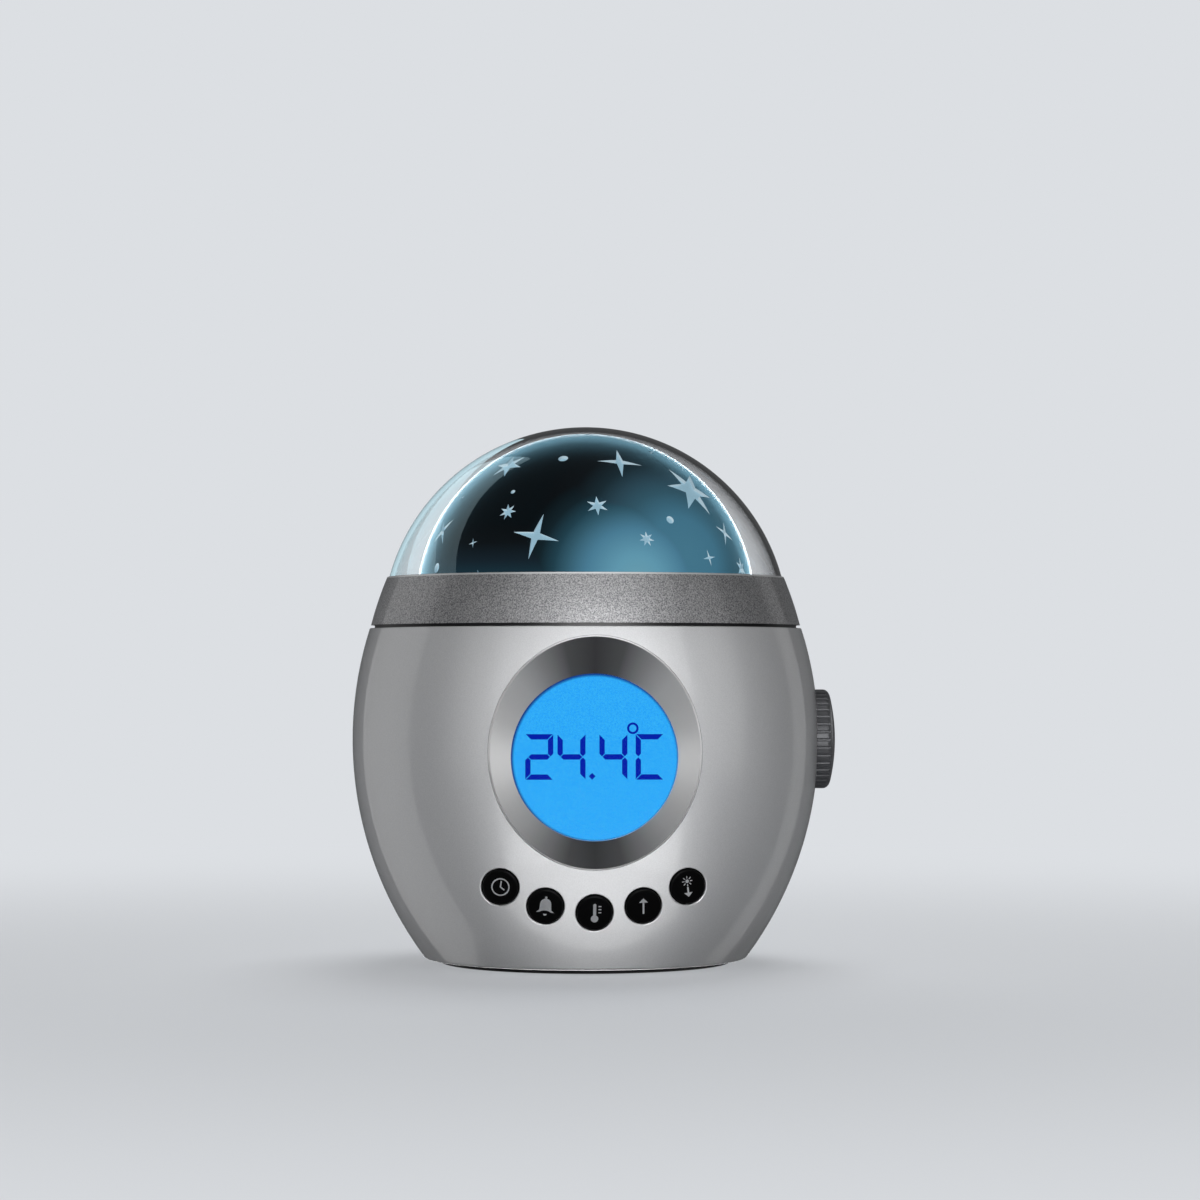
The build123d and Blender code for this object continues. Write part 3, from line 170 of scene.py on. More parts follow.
def coarse_grey_metallic():
    """Coarse grey metallic paint with sparkling grain, and a painted highlight: its lip round the dome
    is near white in the base colour.
    """
    material, tree, shader = new_finish(
        "coarse_grey_metallic_paint", "#8E9094", Metallic=0.8, Roughness=0.42,
        Coat_Weight=0.6, Coat_Roughness=0.08,
    )
    here = add_node(tree, "ShaderNodeTexCoord").outputs["Object"]
    flakes = add_node(
        tree, "ShaderNodeTexNoise", {"Vector": here, "Scale": 1 / PAINT_FLAKE, "Detail": 3.0},
    )
    colour = add_node(
        tree, "ShaderNodeValToRGB", (flakes,), stops=((0.38, "#838487"), (0.62, "#CFCFD1")),
    )
    height = add_node(tree, "ShaderNodeSeparateXYZ", (here,)).outputs["Z"]
    # painted highlight: the base colour turns near white at the ring's top lip
    lip = add_node(
        tree, "ShaderNodeMapRange", (height, *(ring_top_z + place for place in RING_LIP_HIGHLIGHT), 0.0, 1.0),
    )
    both = add_node(
        tree, "ShaderNodeMix", {0: lip, 6: colour, 7: linear("#FAFBFC")}, data_type="RGBA",
    )
    tree.links.new(both.outputs[2], shader.inputs["Base Color"])
    relief = add_node(
        tree, "ShaderNodeBump", {"Height": flakes, "Strength": PAINT_BUMP, "Distance": PAINT_RELIEF},
    )
    tree.links.new(relief.outputs["Normal"], shader.inputs["Normal"])
    return material


def silver_cone_with_painted_reflection():
    """Silver cone with painted reflection and shade: dark above and below and light at the sides by
    angle, darker below the window, and a painted highlight on its outer lip.
    """
    material, tree, shader = new_finish(
        "silver_cone_painted_reflection", "#A6A7AA", Metallic=0.75, Roughness=0.34,
    )
    here = add_node(tree, "ShaderNodeTexCoord").outputs["Object"]
    centred = add_node(
        tree, "ShaderNodeMapping", {"Vector": here, "Location": (-window_x, 0.0, -window_z)},
    )
    parts = add_node(tree, "ShaderNodeSeparateXYZ", (centred,)).outputs
    turn = add_node(tree, "ShaderNodeMath", (parts["Z"], parts["X"]), operation="ARCTAN2")
    level = add_node(tree, "ShaderNodeMath", (turn,), operation="COSINE")
    level = add_node(tree, "ShaderNodeMath", (level,), operation="ABSOLUTE")
    # painted reflection: dark above and below, light at the sides, put into the base colour by angle
    # round the window
    sweep = add_node(tree, "ShaderNodeValToRGB", (level,), stops=(
        (0.0, "#5B5C5E"), (0.26, "#757678"), (0.5, "#BBBCBE"), (0.71, "#EDEEEF"), (0.9, "#FFFFFF"),
    ))
    # painted shade: the cone is darker towards the bottom
    below = add_node(tree, "ShaderNodeMapRange", (parts["Z"], -window_r, window_r, DISH_PAINTED_SHADE, 1.0))
    cone = add_node(
        tree, "ShaderNodeMix", {0: 1.0, 6: sweep, 7: below}, data_type="RGBA", blend_type="MULTIPLY",
    )
    # the lip lies behind the cone's face when that is carried on outwards
    flat = add_node(tree, "ShaderNodeVectorMath", (centred, (1.0, 0.0, 1.0)), operation="MULTIPLY")
    reach = add_node(tree, "ShaderNodeVectorMath", (flat,), operation="LENGTH").outputs["Value"]
    face = add_node(
        tree, "ShaderNodeMapRange", (reach, window_r, window_r + DISH_SLOPE * MM, 0.0, -MM), clamp=False,
    )
    drop = add_node(tree, "ShaderNodeMath", (parts["Y"], face), operation="SUBTRACT")
    lip = add_node(
        tree, "ShaderNodeMapRange", (drop, *(dish_y + place for place in DISH_LIP_HIGHLIGHT), 0.0, 1.0),
    )
    # painted highlight: the outer lip is near white in the base colour
    both = add_node(
        tree, "ShaderNodeMix", {0: lip, 6: cone.outputs[2], 7: linear("#F4F4F5")}, data_type="RGBA",
    )
    tree.links.new(both.outputs[2], shader.inputs["Base Color"])
    return material


def clear_acrylic():
    """Moulded clear acrylic: see-through, with sharp reflections that grow towards the rim."""
    material, tree, shader = new_finish(
        "clear_acrylic", "#FFFFFF", Transmission_Weight=1.0, Roughness=0.0, IOR=1.49,
    )
    shadow = add_node(tree, "ShaderNodeLightPath").outputs["Is Shadow Ray"]
    gap = add_node(tree, "ShaderNodeBsdfTransparent")
    both = add_node(tree, "ShaderNodeMixShader", (shadow, shader, gap))
    tree.links.new(both.outputs[0], tree.nodes["Material Output"].inputs["Surface"])
    return material


def smoked_polycarbonate():
    """Smoked polycarbonate over the lamp: black, with a painted blue glow of the lamp inside in two
    pools and at its foot, and a soft pale sheen at its rim."""
    material, tree, shader = new_finish(
        "smoked_polycarbonate", "#030507", Roughness=0.35, Specular_IOR_Level=0.15,
        Coat_Roughness=0.22, Coat_IOR=1.5, Sheen_Weight=1.0, Sheen_Roughness=0.3,
        Sheen_Tint=linear("#A9DCF2"), Emission_Strength=1.0,
    )
    rim = add_node(tree, "ShaderNodeLayerWeight", {"Blend": 0.5}).outputs["Facing"]
    gloss = add_node(tree, "ShaderNodeMapRange", (rim, *SHADE_GLOSS))
    tree.links.new(gloss.outputs[0], shader.inputs["Coat Weight"])
    here = add_node(tree, "ShaderNodeTexCoord").outputs["Object"]
    height = add_node(tree, "ShaderNodeSeparateXYZ", (here,)).outputs["Z"]
    # painted glow of the lamp inside: bluest at the foot of the shade and in the pools
    lift = add_node(
        tree, "ShaderNodeMapRange", (height, ring_top_z, ring_top_z + FOOT_GLOW_H, 0.0, 1.0),
    )
    glow = add_node(tree, "ShaderNodeValToRGB", (lift,), stops=(
        (0.0, "#17303B"), (0.23, "#13212A"), (0.55, "#0A1014"), (1.0, "#04090C"),
    )).outputs[0]
    for middle, reach, stops in PAINTED_POOLS:
        centre = tuple(length * MM for length in middle)
        away = add_node(tree, "ShaderNodeVectorMath", (here, centre), operation="DISTANCE")
        share = add_node(
            tree, "ShaderNodeMapRange", (away.outputs["Value"], 0.0, reach * MM, 0.0, 1.0),
        )
        pool = add_node(tree, "ShaderNodeValToRGB", (share,), stops=stops)
        glow = add_node(
            tree, "ShaderNodeMix", {0: 1.0, 6: glow, 7: pool}, data_type="RGBA", blend_type="LIGHTEN",
        ).outputs[2]
    # the cut walls of the stars lie under the outside and get a painted glow of the lamp inside, lighter
    # or darker by the way they face
    middle = (0.0, 0.0, star_dome_z)
    depth = add_node(tree, "ShaderNodeVectorMath", (here, middle), operation="DISTANCE")
    inside = add_node(
        tree, "ShaderNodeMapRange",
        (depth.outputs["Value"], *(star_dome_r + place for place in STAR_WALL), 1.0, 0.0),
    )
    normal = add_node(tree, "ShaderNodeNewGeometry").outputs["Normal"]
    way = add_node(tree, "ShaderNodeVectorMath", (normal, WALL_SHADED_WAY), operation="DOT_PRODUCT")
    lean = add_node(
        tree, "ShaderNodeMapRange", (way.outputs["Value"], -WALL_LEAN, WALL_LEAN, 0.0, 1.0),
    )
    wall = add_node(
        tree, "ShaderNodeValToRGB", (lean,), stops=((0.0, "#B9D2DE"), (1.0, "#7F9FB0")),
    )
    lit = add_node(tree, "ShaderNodeMix", {0: inside, 6: glow, 7: wall}, data_type="RGBA")
    tree.links.new(lit.outputs[2], shader.inputs["Emission Color"])
    return material


def lit_display():
    """Backlit display glass: even sky blue with a fine mottle of the diffuser film."""
    material, tree, shader = new_finish(
        "backlit_blue_display", "#04101C", Roughness=0.5, Specular_IOR_Level=0.1,
        Emission_Strength=1.0,
    )
    here = add_node(tree, "ShaderNodeTexCoord").outputs["Object"]
    mottle = add_node(
        tree, "ShaderNodeTexNoise", {"Vector": here, "Scale": 1 / FILM_GRAIN, "Detail": 2.0},
    )
    colour = add_node(
        tree, "ShaderNodeValToRGB", (mottle,), stops=((0.3, "#1CA3FD"), (0.7, "#32B7FF")),
    )
    # painted shadow of the bezel: a darker edge round the display, wider towards the upper left
    middle = (window_x + DISPLAY_SHADOW_SHIFT, window_y, window_z - DISPLAY_SHADOW_SHIFT)
    away = add_node(tree, "ShaderNodeVectorMath", (here, middle), operation="DISTANCE")
    edge = add_node(
        tree, "ShaderNodeMapRange",
        (away.outputs["Value"], *(window_r + place for place in DISPLAY_SHADOW_EDGE), 0.0, 1.0),
        interpolation_type="SMOOTHSTEP",
    )
    both = add_node(
        tree, "ShaderNodeMix", {0: edge, 6: colour, 7: linear("#0B3E8E")}, data_type="RGBA",
    )
    tree.links.new(both.outputs[2], shader.inputs["Emission Color"])
    return material


def plain(name, colour, **sockets):
    """A finish with no pattern."""
    return new_finish(name, colour, **sockets)[0]


def lit_opal():
    """Opal liner with a painted glow of the lamp inside: an even pale blue in every star."""
    return plain(
        "lit_opal_liner", "#5F6C76", Roughness=0.45, Emission_Color=linear(STAR_LIGHT),
        Emission_Strength=1.0,
    )


def display_ink():
    """Liquid crystal segments that shut the light out: dark blue and even."""
    return plain(
        "display_segment_blue", "#010224", Roughness=0.5, Specular_IOR_Level=0.1,
        Emission_Color=linear("#0220AA"), Emission_Strength=1.0,
    )


finishes = {
    "shell_lacquer": pearl_silver_lacquer(),
    "ring_metallic": coarse_grey_metallic(),
    "clear_dome": clear_acrylic(),
    "star_print": smoked_polycarbonate(),
    "glow_liner": lit_opal(),
    "bezel_silver": silver_cone_with_painted_reflection(),
    "clear_window": clear_acrylic(),
    "lcd_panel": lit_display(),
    # moulded ABS with a fine matt texture: deep black key caps with hardly a highlight
    "button_black": plain("matt_black_abs", "#060607", Roughness=0.5, Specular_IOR_Level=0.12),
    # moulded ABS with metal flake in it: a satin grey skin with soft wide highlights
    "knob_grey": plain("satin_grey_abs", "#5A5B5E", Metallic=0.4, Roughness=0.36),
    # moulded ABS: dark parts with a soft gloss, and the duller light grey underside
    "black_plastic": plain("black_abs", "#101113", Roughness=0.4),
    "base_grey": plain("grey_abs", "#8F9195", Roughness=0.5),
    # moulded rubber: dull black, with no highlight of its own
    "foot_rubber": plain("black_rubber", "#17181A", Roughness=0.8),
    # zinc plated steel: bright neutral metal
    "screw_steel": plain("zinc_plated_steel", "#B9BABC", Metallic=1.0, Roughness=0.3),
    # screen printed solder resist: deep green under a silky gloss
    "circuit_board": plain("green_solder_resist", "#0F4A2C", Roughness=0.35),
    # cast tinted epoxy: strong colour with a small sharp highlight
    "blue_lens": plain("blue_epoxy_lens", "#3B6FD0", Roughness=0.1),
    "green_lens": plain("green_epoxy_lens", "#3FA45B", Roughness=0.1),
    "amber_lens": plain("amber_epoxy_lens", "#D98A2B", Roughness=0.1),
    # moulded milky acrylic: pale blue white, a little glossy
    "backlight_block": plain("milky_light_guide", "#DDE9F2", Roughness=0.4),
    # moulded acetal: waxy white
    "white_plastic": plain("white_pom", "#E4E5E3", Roughness=0.4),
    # nickel plated steel: metal with a warm tone
    "contact_metal": plain("nickel_plated_steel", "#C6C3BC", Metallic=1.0, Roughness=0.28),
    # moulded epoxy: dull charcoal
    "chip_epoxy": plain("black_epoxy", "#1B1C1E", Roughness=0.55),
    # printed shrink film over a steel can: dark grey with a faint metal glint
    "cell_can": plain("cell_jacket", "#3A3D42", Metallic=0.4, Roughness=0.35),
}

for piece in nodes.values():
    for slot in piece.material_slots:
        slot.material = finishes[slot.material.name]


# ---------------------------------------------------------------- pieces made by rule
CREASE = radians(40)       # edges that turn by more stay sharp


def new_rule(name, sizes):
    """A Geometry Nodes tree with those named sizes and a finish; returns it and its given sockets."""
    tree = bpy.data.node_groups.new(name, "GeometryNodeTree")
    tree.interface.new_socket("Geometry", in_out="INPUT", socket_type="NodeSocketGeometry")
    tree.interface.new_socket("Geometry", in_out="OUTPUT", socket_type="NodeSocketGeometry")
    for size in sizes:
        tree.interface.new_socket(size, in_out="INPUT", socket_type="NodeSocketFloat")
    tree.interface.new_socket("Finish", in_out="INPUT", socket_type="NodeSocketMaterial")
    return tree, add_node(tree, "NodeGroupInput").outputs


def end_rule(tree, geometry, finish):
    """Close a tree: smooth, every copy made real, and in its finish."""
    smooth = add_node(tree, "GeometryNodeSetShadeSmooth", {"Geometry": geometry})
    real = add_node(tree, "GeometryNodeRealizeInstances", {"Geometry": smooth})
    painted = add_node(tree, "GeometryNodeSetMaterial", {"Geometry": real, "Material": finish})
    add_node(tree, "NodeGroupOutput", {"Geometry": painted})


def made_by(tree, name, seed, sizes, finish, node_name):
    """The plain mesh that a tree makes from seed points, in the place of a CAD node."""
    maker = add_object(f"{name}_maker", seed)
    modifier = maker.modifiers.new(name, "NODES")
    modifier.node_group = tree
    given = {**sizes, "Finish": finish}
    for socket in tree.interface.items_tree:
        if socket.in_out == "INPUT" and socket.name in given:
            modifier[socket.identifier] = given[socket.name]
    bpy.context.view_layer.update()
    ready = maker.evaluated_get(bpy.context.evaluated_depsgraph_get())
    mesh = bpy.data.meshes.new_from_object(ready)
    mesh.name = name
    mesh.set_sharp_from_angle(angle=CREASE)
    bpy.data.objects.remove(maker)
    piece = add_object(name, mesh)
    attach(piece, "root")
    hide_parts(node_name)
    return piece


def seed_points(name, places, **values):
    """A mesh of loose points, each with its values."""
    mesh = bpy.data.meshes.new(name)
    mesh.from_pydata(places, [], [])
    for key, numbers in values.items():
        mesh.attributes.new(key, "FLOAT", "POINT").data.foreach_set("value", numbers)
    return mesh


DOME_SIDES = 192
DOME_STEPS = 48
DOME_WALL = 1.2 * MM
DOME_FOOT_T = 1.5 * MM
DOME_FOOT_W = 1.05 * MM
DOME_SPARE = 0.015 * MM    # keeps the turned dome inside the solid's box
WELD = 0.005 * MM          # seam vertices closer than this become one


def dome_rule():
    """A clear dome turned about the z axis: two round walls and a flat foot."""
    tree, given = new_rule(
        "turned_dome",
        ("Outer Radius", "Wall", "Middle Height", "Foot Height", "Foot Width", "Foot Thickness"),
    )
    here = add_node(tree, "GeometryNodeInputPosition")
    parts = add_node(tree, "ShaderNodeSeparateXYZ", (here,)).outputs
    turn = add_node(tree, "ShaderNodeMath", (parts["X"], 2 * pi, pi), operation="MULTIPLY_ADD")
    rise = add_node(tree, "ShaderNodeMath", (parts["Y"], 0.5), operation="ADD")
    waves = [add_node(tree, "ShaderNodeMath", (turn,), operation=wave) for wave in ("COSINE", "SINE")]
    joined = add_node(tree, "GeometryNodeJoinGeometry")

    def sweep(reach, height, rows, inward):
        grid = add_node(
            tree, "GeometryNodeMeshGrid",
            {"Size X": 1.0, "Size Y": 1.0, "Vertices X": DOME_SIDES + 1, "Vertices Y": rows},
        )
        level = [
            add_node(tree, "ShaderNodeMath", (reach, wave), operation="MULTIPLY") for wave in waves
        ]
        spot = add_node(tree, "ShaderNodeCombineXYZ", (*level, height))
        wall = add_node(tree, "GeometryNodeSetPosition", {"Geometry": grid, "Position": spot})
        if inward:
            wall = add_node(tree, "GeometryNodeFlipFaces", (wall,))
        tree.links.new(wall.outputs[0], joined.inputs["Geometry"])

    outer, middle, foot = (given[size] for size in ("Outer Radius", "Middle Height", "Foot Height"))
    foot_top = add_node(
        tree, "ShaderNodeMath", (foot, given["Foot Thickness"]), operation="ADD",
    ).outputs[0]
    inner = add_node(tree, "ShaderNodeMath", (outer, given["Wall"]), operation="SUBTRACT")
    corners = []
    for radius, edge, inward in ((inner, foot, True), (outer, foot_top, False)):
        # a round wall goes from the angle of its lower edge up to the top
        drop = add_node(tree, "ShaderNodeMath", (edge, middle), operation="SUBTRACT")
        sine = add_node(tree, "ShaderNodeMath", (drop, radius), operation="DIVIDE")
        start = add_node(tree, "ShaderNodeMath", (sine,), operation="ARCSINE")
        arc = add_node(tree, "ShaderNodeMath", (pi / 2, start), operation="SUBTRACT")
        angle = add_node(tree, "ShaderNodeMath", (rise, arc, start), operation="MULTIPLY_ADD")
        cosine = add_node(tree, "ShaderNodeMath", (angle,), operation="COSINE")
        reach = add_node(tree, "ShaderNodeMath", (radius, cosine), operation="MULTIPLY")
        sine = add_node(tree, "ShaderNodeMath", (angle,), operation="SINE")
        height = add_node(tree, "ShaderNodeMath", (radius, sine, middle), operation="MULTIPLY_ADD")
        sweep(reach, height, DOME_STEPS + 1, inward)
        cosine = add_node(tree, "ShaderNodeMath", (start,), operation="COSINE")
        reach = add_node(tree, "ShaderNodeMath", (radius, cosine), operation="MULTIPLY")
        corners.append((reach.outputs[0], edge))
    # the foot is a strip that goes through the four corners of its section
    rim = add_node(
        tree, "ShaderNodeMath", (outer, given["Foot Width"]), operation="ADD",
    ).outputs[0]
    corners[1:1] = [(rim, foot), (rim, foot_top)]
    row = add_node(tree, "ShaderNodeMath", (rise, len(corners) - 1), operation="MULTIPLY")
    row = add_node(tree, "ShaderNodeMath", (row,), operation="ROUND")
    picked = []
    for choices in zip(*corners):
        pick = add_node(tree, "GeometryNodeIndexSwitch", {"Index": row}, data_type="FLOAT")
        while len(pick.index_switch_items) < len(choices):
            pick.index_switch_items.new()
        for number, choice in enumerate(choices):
            tree.links.new(choice, pick.inputs[1 + number])
        picked.append(pick)
    sweep(*picked, len(corners), False)
    closed = add_node(
        tree, "GeometryNodeMergeByDistance", {"Geometry": joined, "Distance": WELD},
    )
    end_rule(tree, closed, given["Finish"])
    return tree


outer_low, outer_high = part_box("outer_dome")
outer_r = (outer_high.x - outer_low.x) / 2 - DOME_FOOT_W - DOME_SPARE
clear_dome = made_by(
    dome_rule(), "clear_dome_turned", seed_points("dome_seed", [(0, 0, 0)]),
    {
        "Outer Radius": outer_r, "Wall": DOME_WALL, "Middle Height": outer_high.z - outer_r,
        "Foot Height": outer_low.z, "Foot Width": DOME_FOOT_W, "Foot Thickness": DOME_FOOT_T,
    },
    finishes["clear_dome"], "outer_dome",
)


SPRING_WIRE = 0.8 * MM
SPRING_TURNS = 4.5
SPRING_STEPS = 28                  # straight pieces in one turn
WIRE_SIDES = 10
SPRING_APART = 2 * MM              # the springs stand further apart than this
WIRE_IN = 0.55 * SPRING_WIRE       # from a spring's end or wide side to the middle of its wire
TIP_IN = 1.8 * SPRING_WIRE         # from its wide side to the middle of the narrow end's wire


def spring_rule():
    """A tapered coil of round wire at every seed point, along its facing on the y axis."""
    tree, given = new_rule("coil_springs", ("Turns", "Wide Radius", "Narrow Radius", "Length", "Wire"))
    path = add_node(tree, "GeometryNodeCurveSpiral", {
        "Resolution": SPRING_STEPS, "Rotations": given["Turns"], "Start Radius": given["Wide Radius"],
        "End Radius": given["Narrow Radius"], "Height": given["Length"],
    })
    wire_r = add_node(tree, "ShaderNodeMath", (given["Wire"], 0.5), operation="MULTIPLY")
    section = add_node(
        tree, "GeometryNodeCurvePrimitiveCircle", {"Resolution": WIRE_SIDES, "Radius": wire_r},
    )
    wire = add_node(
        tree, "GeometryNodeCurveToMesh",
        {"Curve": path, "Profile Curve": section, "Fill Caps": True},
    )
    facing = add_node(tree, "GeometryNodeInputNamedAttribute", {"Name": "facing"}, data_type="FLOAT")
    lean = add_node(tree, "ShaderNodeMath", (facing, -pi / 2), operation="MULTIPLY")
    aim = add_node(tree, "ShaderNodeCombineXYZ", {"X": lean})
    way = add_node(tree, "FunctionNodeEulerToRotation", {"Euler": aim})
    copies = add_node(
        tree, "GeometryNodeInstanceOnPoints",
        {"Points": given["Geometry"], "Instance": wire, "Rotation": way},
    )
    end_rule(tree, copies, given["Finish"])
    return tree


spring_low, spring_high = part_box("battery_springs")
spring_dots = sorted((v.co for v in nodes["battery_springs"].data.vertices), key=lambda dot: dot.x)
spring_sets = [[spring_dots[0]]]
for dot in spring_dots[1:]:
    if dot.x - spring_sets[-1][-1].x > SPRING_APART:
        spring_sets.append([])
    spring_sets[-1].append(dot)
spring_r = (spring_sets[0][-1].x - spring_sets[0][0].x) / 2
spring_places = []
spring_ways = []
for dots in spring_sets:
    near, far = min(dot.y for dot in dots), max(dot.y for dot in dots)
    middle_x = (dots[0].x + dots[-1].x) / 2
    middle_z = (spring_low.z + spring_high.z) / 2
    wide_y = min(dots, key=lambda dot: dot.x).y
    way = 1 if wide_y - near < far - wide_y else -1
    spring_places.append((middle_x, (near if way > 0 else far) + way * WIRE_IN, middle_z))
    spring_ways.append(way)
# the springs are alike, so the last one's length serves for all
springs = made_by(
    spring_rule(), "coil_springs_wound", seed_points("spring_seed", spring_places, facing=spring_ways),
    {
        "Turns": SPRING_TURNS, "Wide Radius": spring_r - WIRE_IN, "Narrow Radius": spring_r - TIP_IN,
        "Length": far - near - 2 * WIRE_IN, "Wire": SPRING_WIRE,
    },
    finishes["contact_metal"], "battery_springs",
)


# ---------------------------------------------------------------- flat marks on a surface
MARK_RISE = 0.03 * MM      # a mark stands this far out of the surface and goes this deep into it
MARK_SUNK = 0.02 * MM
RING_PARTS = 24
STROKE_END = 0.3           # a stroke reaches this share of half its width past its ends


def surface_depth(node_name):
    """A function that gives the depth of a CAD node's front at a place seen from the front."""
    mesh = nodes[node_name].data
    tree = BVHTree.FromPolygons([v.co for v in mesh.vertices], [p.vertices for p in mesh.polygons])
    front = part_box(node_name)[0].y - 1 * MM

    def depth(x, z):
        return tree.ray_cast(Vector((x, front, z)), Vector((0, 1, 0)))[0].y

    return depth


def marks(name, outlines, node_name, body, finish):
    """Thin closed plates with those outlines, seen from the front and laid on a CAD node."""
    depth = surface_depth(node_name)
    points = []
    faces = []
    for outline in outlines:
        first = len(points)
        count = len(outline)
        points += [(x, depth(x, z) - MARK_RISE, z) for x, z in outline]
        points += [(x, depth(x, z) + MARK_SUNK, z) for x, z in outline]
        faces.append(list(range(first, first + count)))
        faces.append(list(range(first + 2 * count - 1, first + count - 1, -1)))
        for step in range(count):
            after = (step + 1) % count
            faces.append((first + step, first + count + step, first + count + after, first + after))
    mesh = bpy.data.meshes.new(name)
    mesh.from_pydata(points, [], faces)
    mesh.materials.append(finish)
    plate = add_object(name, mesh)
    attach(plate, body)
    return plate


def ring_outlines(x, z, radius, width):
    """A flat ring as a row of four-cornered pieces."""
    found = []
    for step in range(RING_PARTS):
        near = 2 * pi * step / RING_PARTS
        far = 2 * pi * (step + 1) / RING_PARTS
        found.append([
            (x + reach * cos(angle), z + reach * sin(angle))
            for reach, angle in (
                (radius, near), (radius, far), (radius - width, far), (radius - width, near),
            )
        ])
    return found


def bar(start, end, width):
    """A straight stroke between two points."""
    along = Vector((end[0] - start[0], end[1] - start[1])).normalized() * width / 2
    across = Vector((-along.y, along.x))
    corners = []
    for point, side, reach in ((start, 1, -1), (start, -1, -1), (end, -1, 1), (end, 1, 1)):
        corners.append((
            point[0] + side * across.x + reach * along.x * STROKE_END,
            point[1] + side * across.y + reach * along.y * STROKE_END,
        ))
    return corners


# ---------------------------------------------------------------- display digits
DIGIT_H = 11.3 * MM
DIGIT_W = 6.95 * MM
SEGMENT_T = 1.32 * MM
SEGMENT_GAP = 0.13 * MM
SEGMENTS = {"2": "abged", "4": "fgbc", "C": "afed"}
DIGIT_DROP = 5.6 * MM      # the digits stand this far below the window's middle


def digit_segments(left, low, signs):
    """Outlines of the lit bars of a seven-bar digit whose lower left corner is given."""
    w, h, t, g = DIGIT_W, DIGIT_H, SEGMENT_T, SEGMENT_GAP
    mid = h / 2
    shapes = {
        "a": [(g, h), (w - g, h), (w - g - t, h - t), (g + t, h - t)],
        "d": [(g + t, t), (w - g - t, t), (w - g, 0), (g, 0)],
        "g": [
            (t / 2 + g, mid), (t + g, mid + t / 2), (w - t - g, mid + t / 2), (w - t / 2 - g, mid),
            (w - t - g, mid - t / 2), (t + g, mid - t / 2),
        ],
        "f": [(0, h - g), (t, h - g - t), (t, mid + t / 2 + g), (t / 2, mid + g), (0, mid + g + t / 2)],
        "e": [(0, mid - g - t / 2), (t / 2, mid - g), (t, mid - t / 2 - g), (t, g + t), (0, g)],
    }
    shapes["b"] = [(w - x, z) for x, z in shapes["f"]]
    shapes["c"] = [(w - x, z) for x, z in shapes["e"]]
    return [[(left + x, low + z) for x, z in shapes[sign]] for sign in signs]


def display_reading():
    """The reading 24.4 with its degree ring and C."""
    low = window_z - DIGIT_DROP
    found = []
    for sign, left in (("2", -17.1), ("4", -9.1), ("4", 1.3), ("C", 10.3)):
        found += digit_segments(left * MM, low, SEGMENTS[sign])
    dot = 0.85 * MM
    x, z = -0.5 * MM, low + dot
    found.append([(x - dot, z), (x, z + dot), (x + dot, z), (x, z - dot)])
    found += ring_outlines(9.6 * MM, window_z + 7.15 * MM, 1.45 * MM, 0.55 * MM)
    return found


reading = marks("display_reading", display_reading(), "lcd_glass", "root", display_ink())


# ---------------------------------------------------------------- signs on the keys
STROKE = 0.27 * MM
SIGN_SIZE = 1.3            # the signs are drawn about (0, 0) and then made this much larger
SIGN_WHITE = "#F4F5F6"


def turned(outlines, key, tilt):
    """Outlines drawn about (0, 0), enlarged, tilted by degrees and moved onto a key cap."""
    low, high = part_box(f"{key}_button")
    middle_x = (low.x + high.x) / 2
    middle_z = (low.z + high.z) / 2
    c = SIGN_SIZE * cos(radians(tilt))
    s = SIGN_SIZE * sin(radians(tilt))
    return [[(middle_x + c * x - s * z, middle_z + s * x + c * z) for x, z in line] for line in outlines]


def arc_points(x, z, radius, start, end, parts):
    """Points on an arc between two angles in degrees."""
    found = []
    for step in range(parts + 1):
        angle = radians(start + (end - start) * step / parts)
        found.append((x + radius * cos(angle), z + radius * sin(angle)))
    return found


def clock_sign():
    """A dial with two hands."""
    lines = ring_outlines(0, 0, 1.75 * MM, STROKE)
    lines.append(bar((0, 0), (0, 1.15 * MM), STROKE))
    lines.append(bar((0, 0), (0.8 * MM, -0.45 * MM), STROKE))
    return lines


def bell_sign():
    """A bell with its clapper."""
    body = arc_points(0, 0.45 * MM, 1.05 * MM, 180, 0, 10)
    body += [
        (1.15 * MM, -0.75 * MM), (1.7 * MM, -1.2 * MM), (-1.7 * MM, -1.2 * MM), (-1.15 * MM, -0.75 * MM),
    ]
    clapper = arc_points(0, -1.5 * MM, 0.36 * MM, 180, 360, 6)
    knob = arc_points(0, 1.7 * MM, 0.24 * MM, 0, 330, 11)
    return [body, clapper, knob]


def thermometer_sign():
    """A bulb with a stem and three marks."""
    lines = [arc_points(0, -1.2 * MM, 0.72 * MM, 0, 345, 23)]
    stem = arc_points(0, 1.45 * MM, 0.3 * MM, 0, 180, 8)
    lines.append([(0.3 * MM, -0.5 * MM), *stem, (-0.3 * MM, -0.5 * MM)])
    for mark_z in (0.0, 0.6, 1.2):
        lines.append(bar((0.75 * MM, mark_z * MM), (1.25 * MM, mark_z * MM), STROKE * 0.8))
    return lines


def arrow_sign(middle_z, length, way):
    """An arrow along the way of +1 for up or -1 for down."""
    tip = middle_z + way * length / 2
    tail = middle_z - way * length / 2
    wing = 0.85 * MM
    head = [(-wing, tip - way * wing), (0, tip), (wing, tip - way * wing)]
    return [head, bar((0, tip - way * wing * 0.8), (0, tail), STROKE * 1.3)]


def lamp_sign():
    """A small round lamp with eight rays."""
    lines = [arc_points(0, 1.05 * MM, 0.36 * MM, 0, 330, 11)]
    for step in range(8):
        angle = 2 * pi * step / 8
        near, far = 0.58 * MM, 1.0 * MM
        lines.append(bar(
            (near * cos(angle), 1.05 * MM + near * sin(angle)),
            (far * cos(angle), 1.05 * MM + far * sin(angle)), STROKE * 0.7,
        ))
    return lines
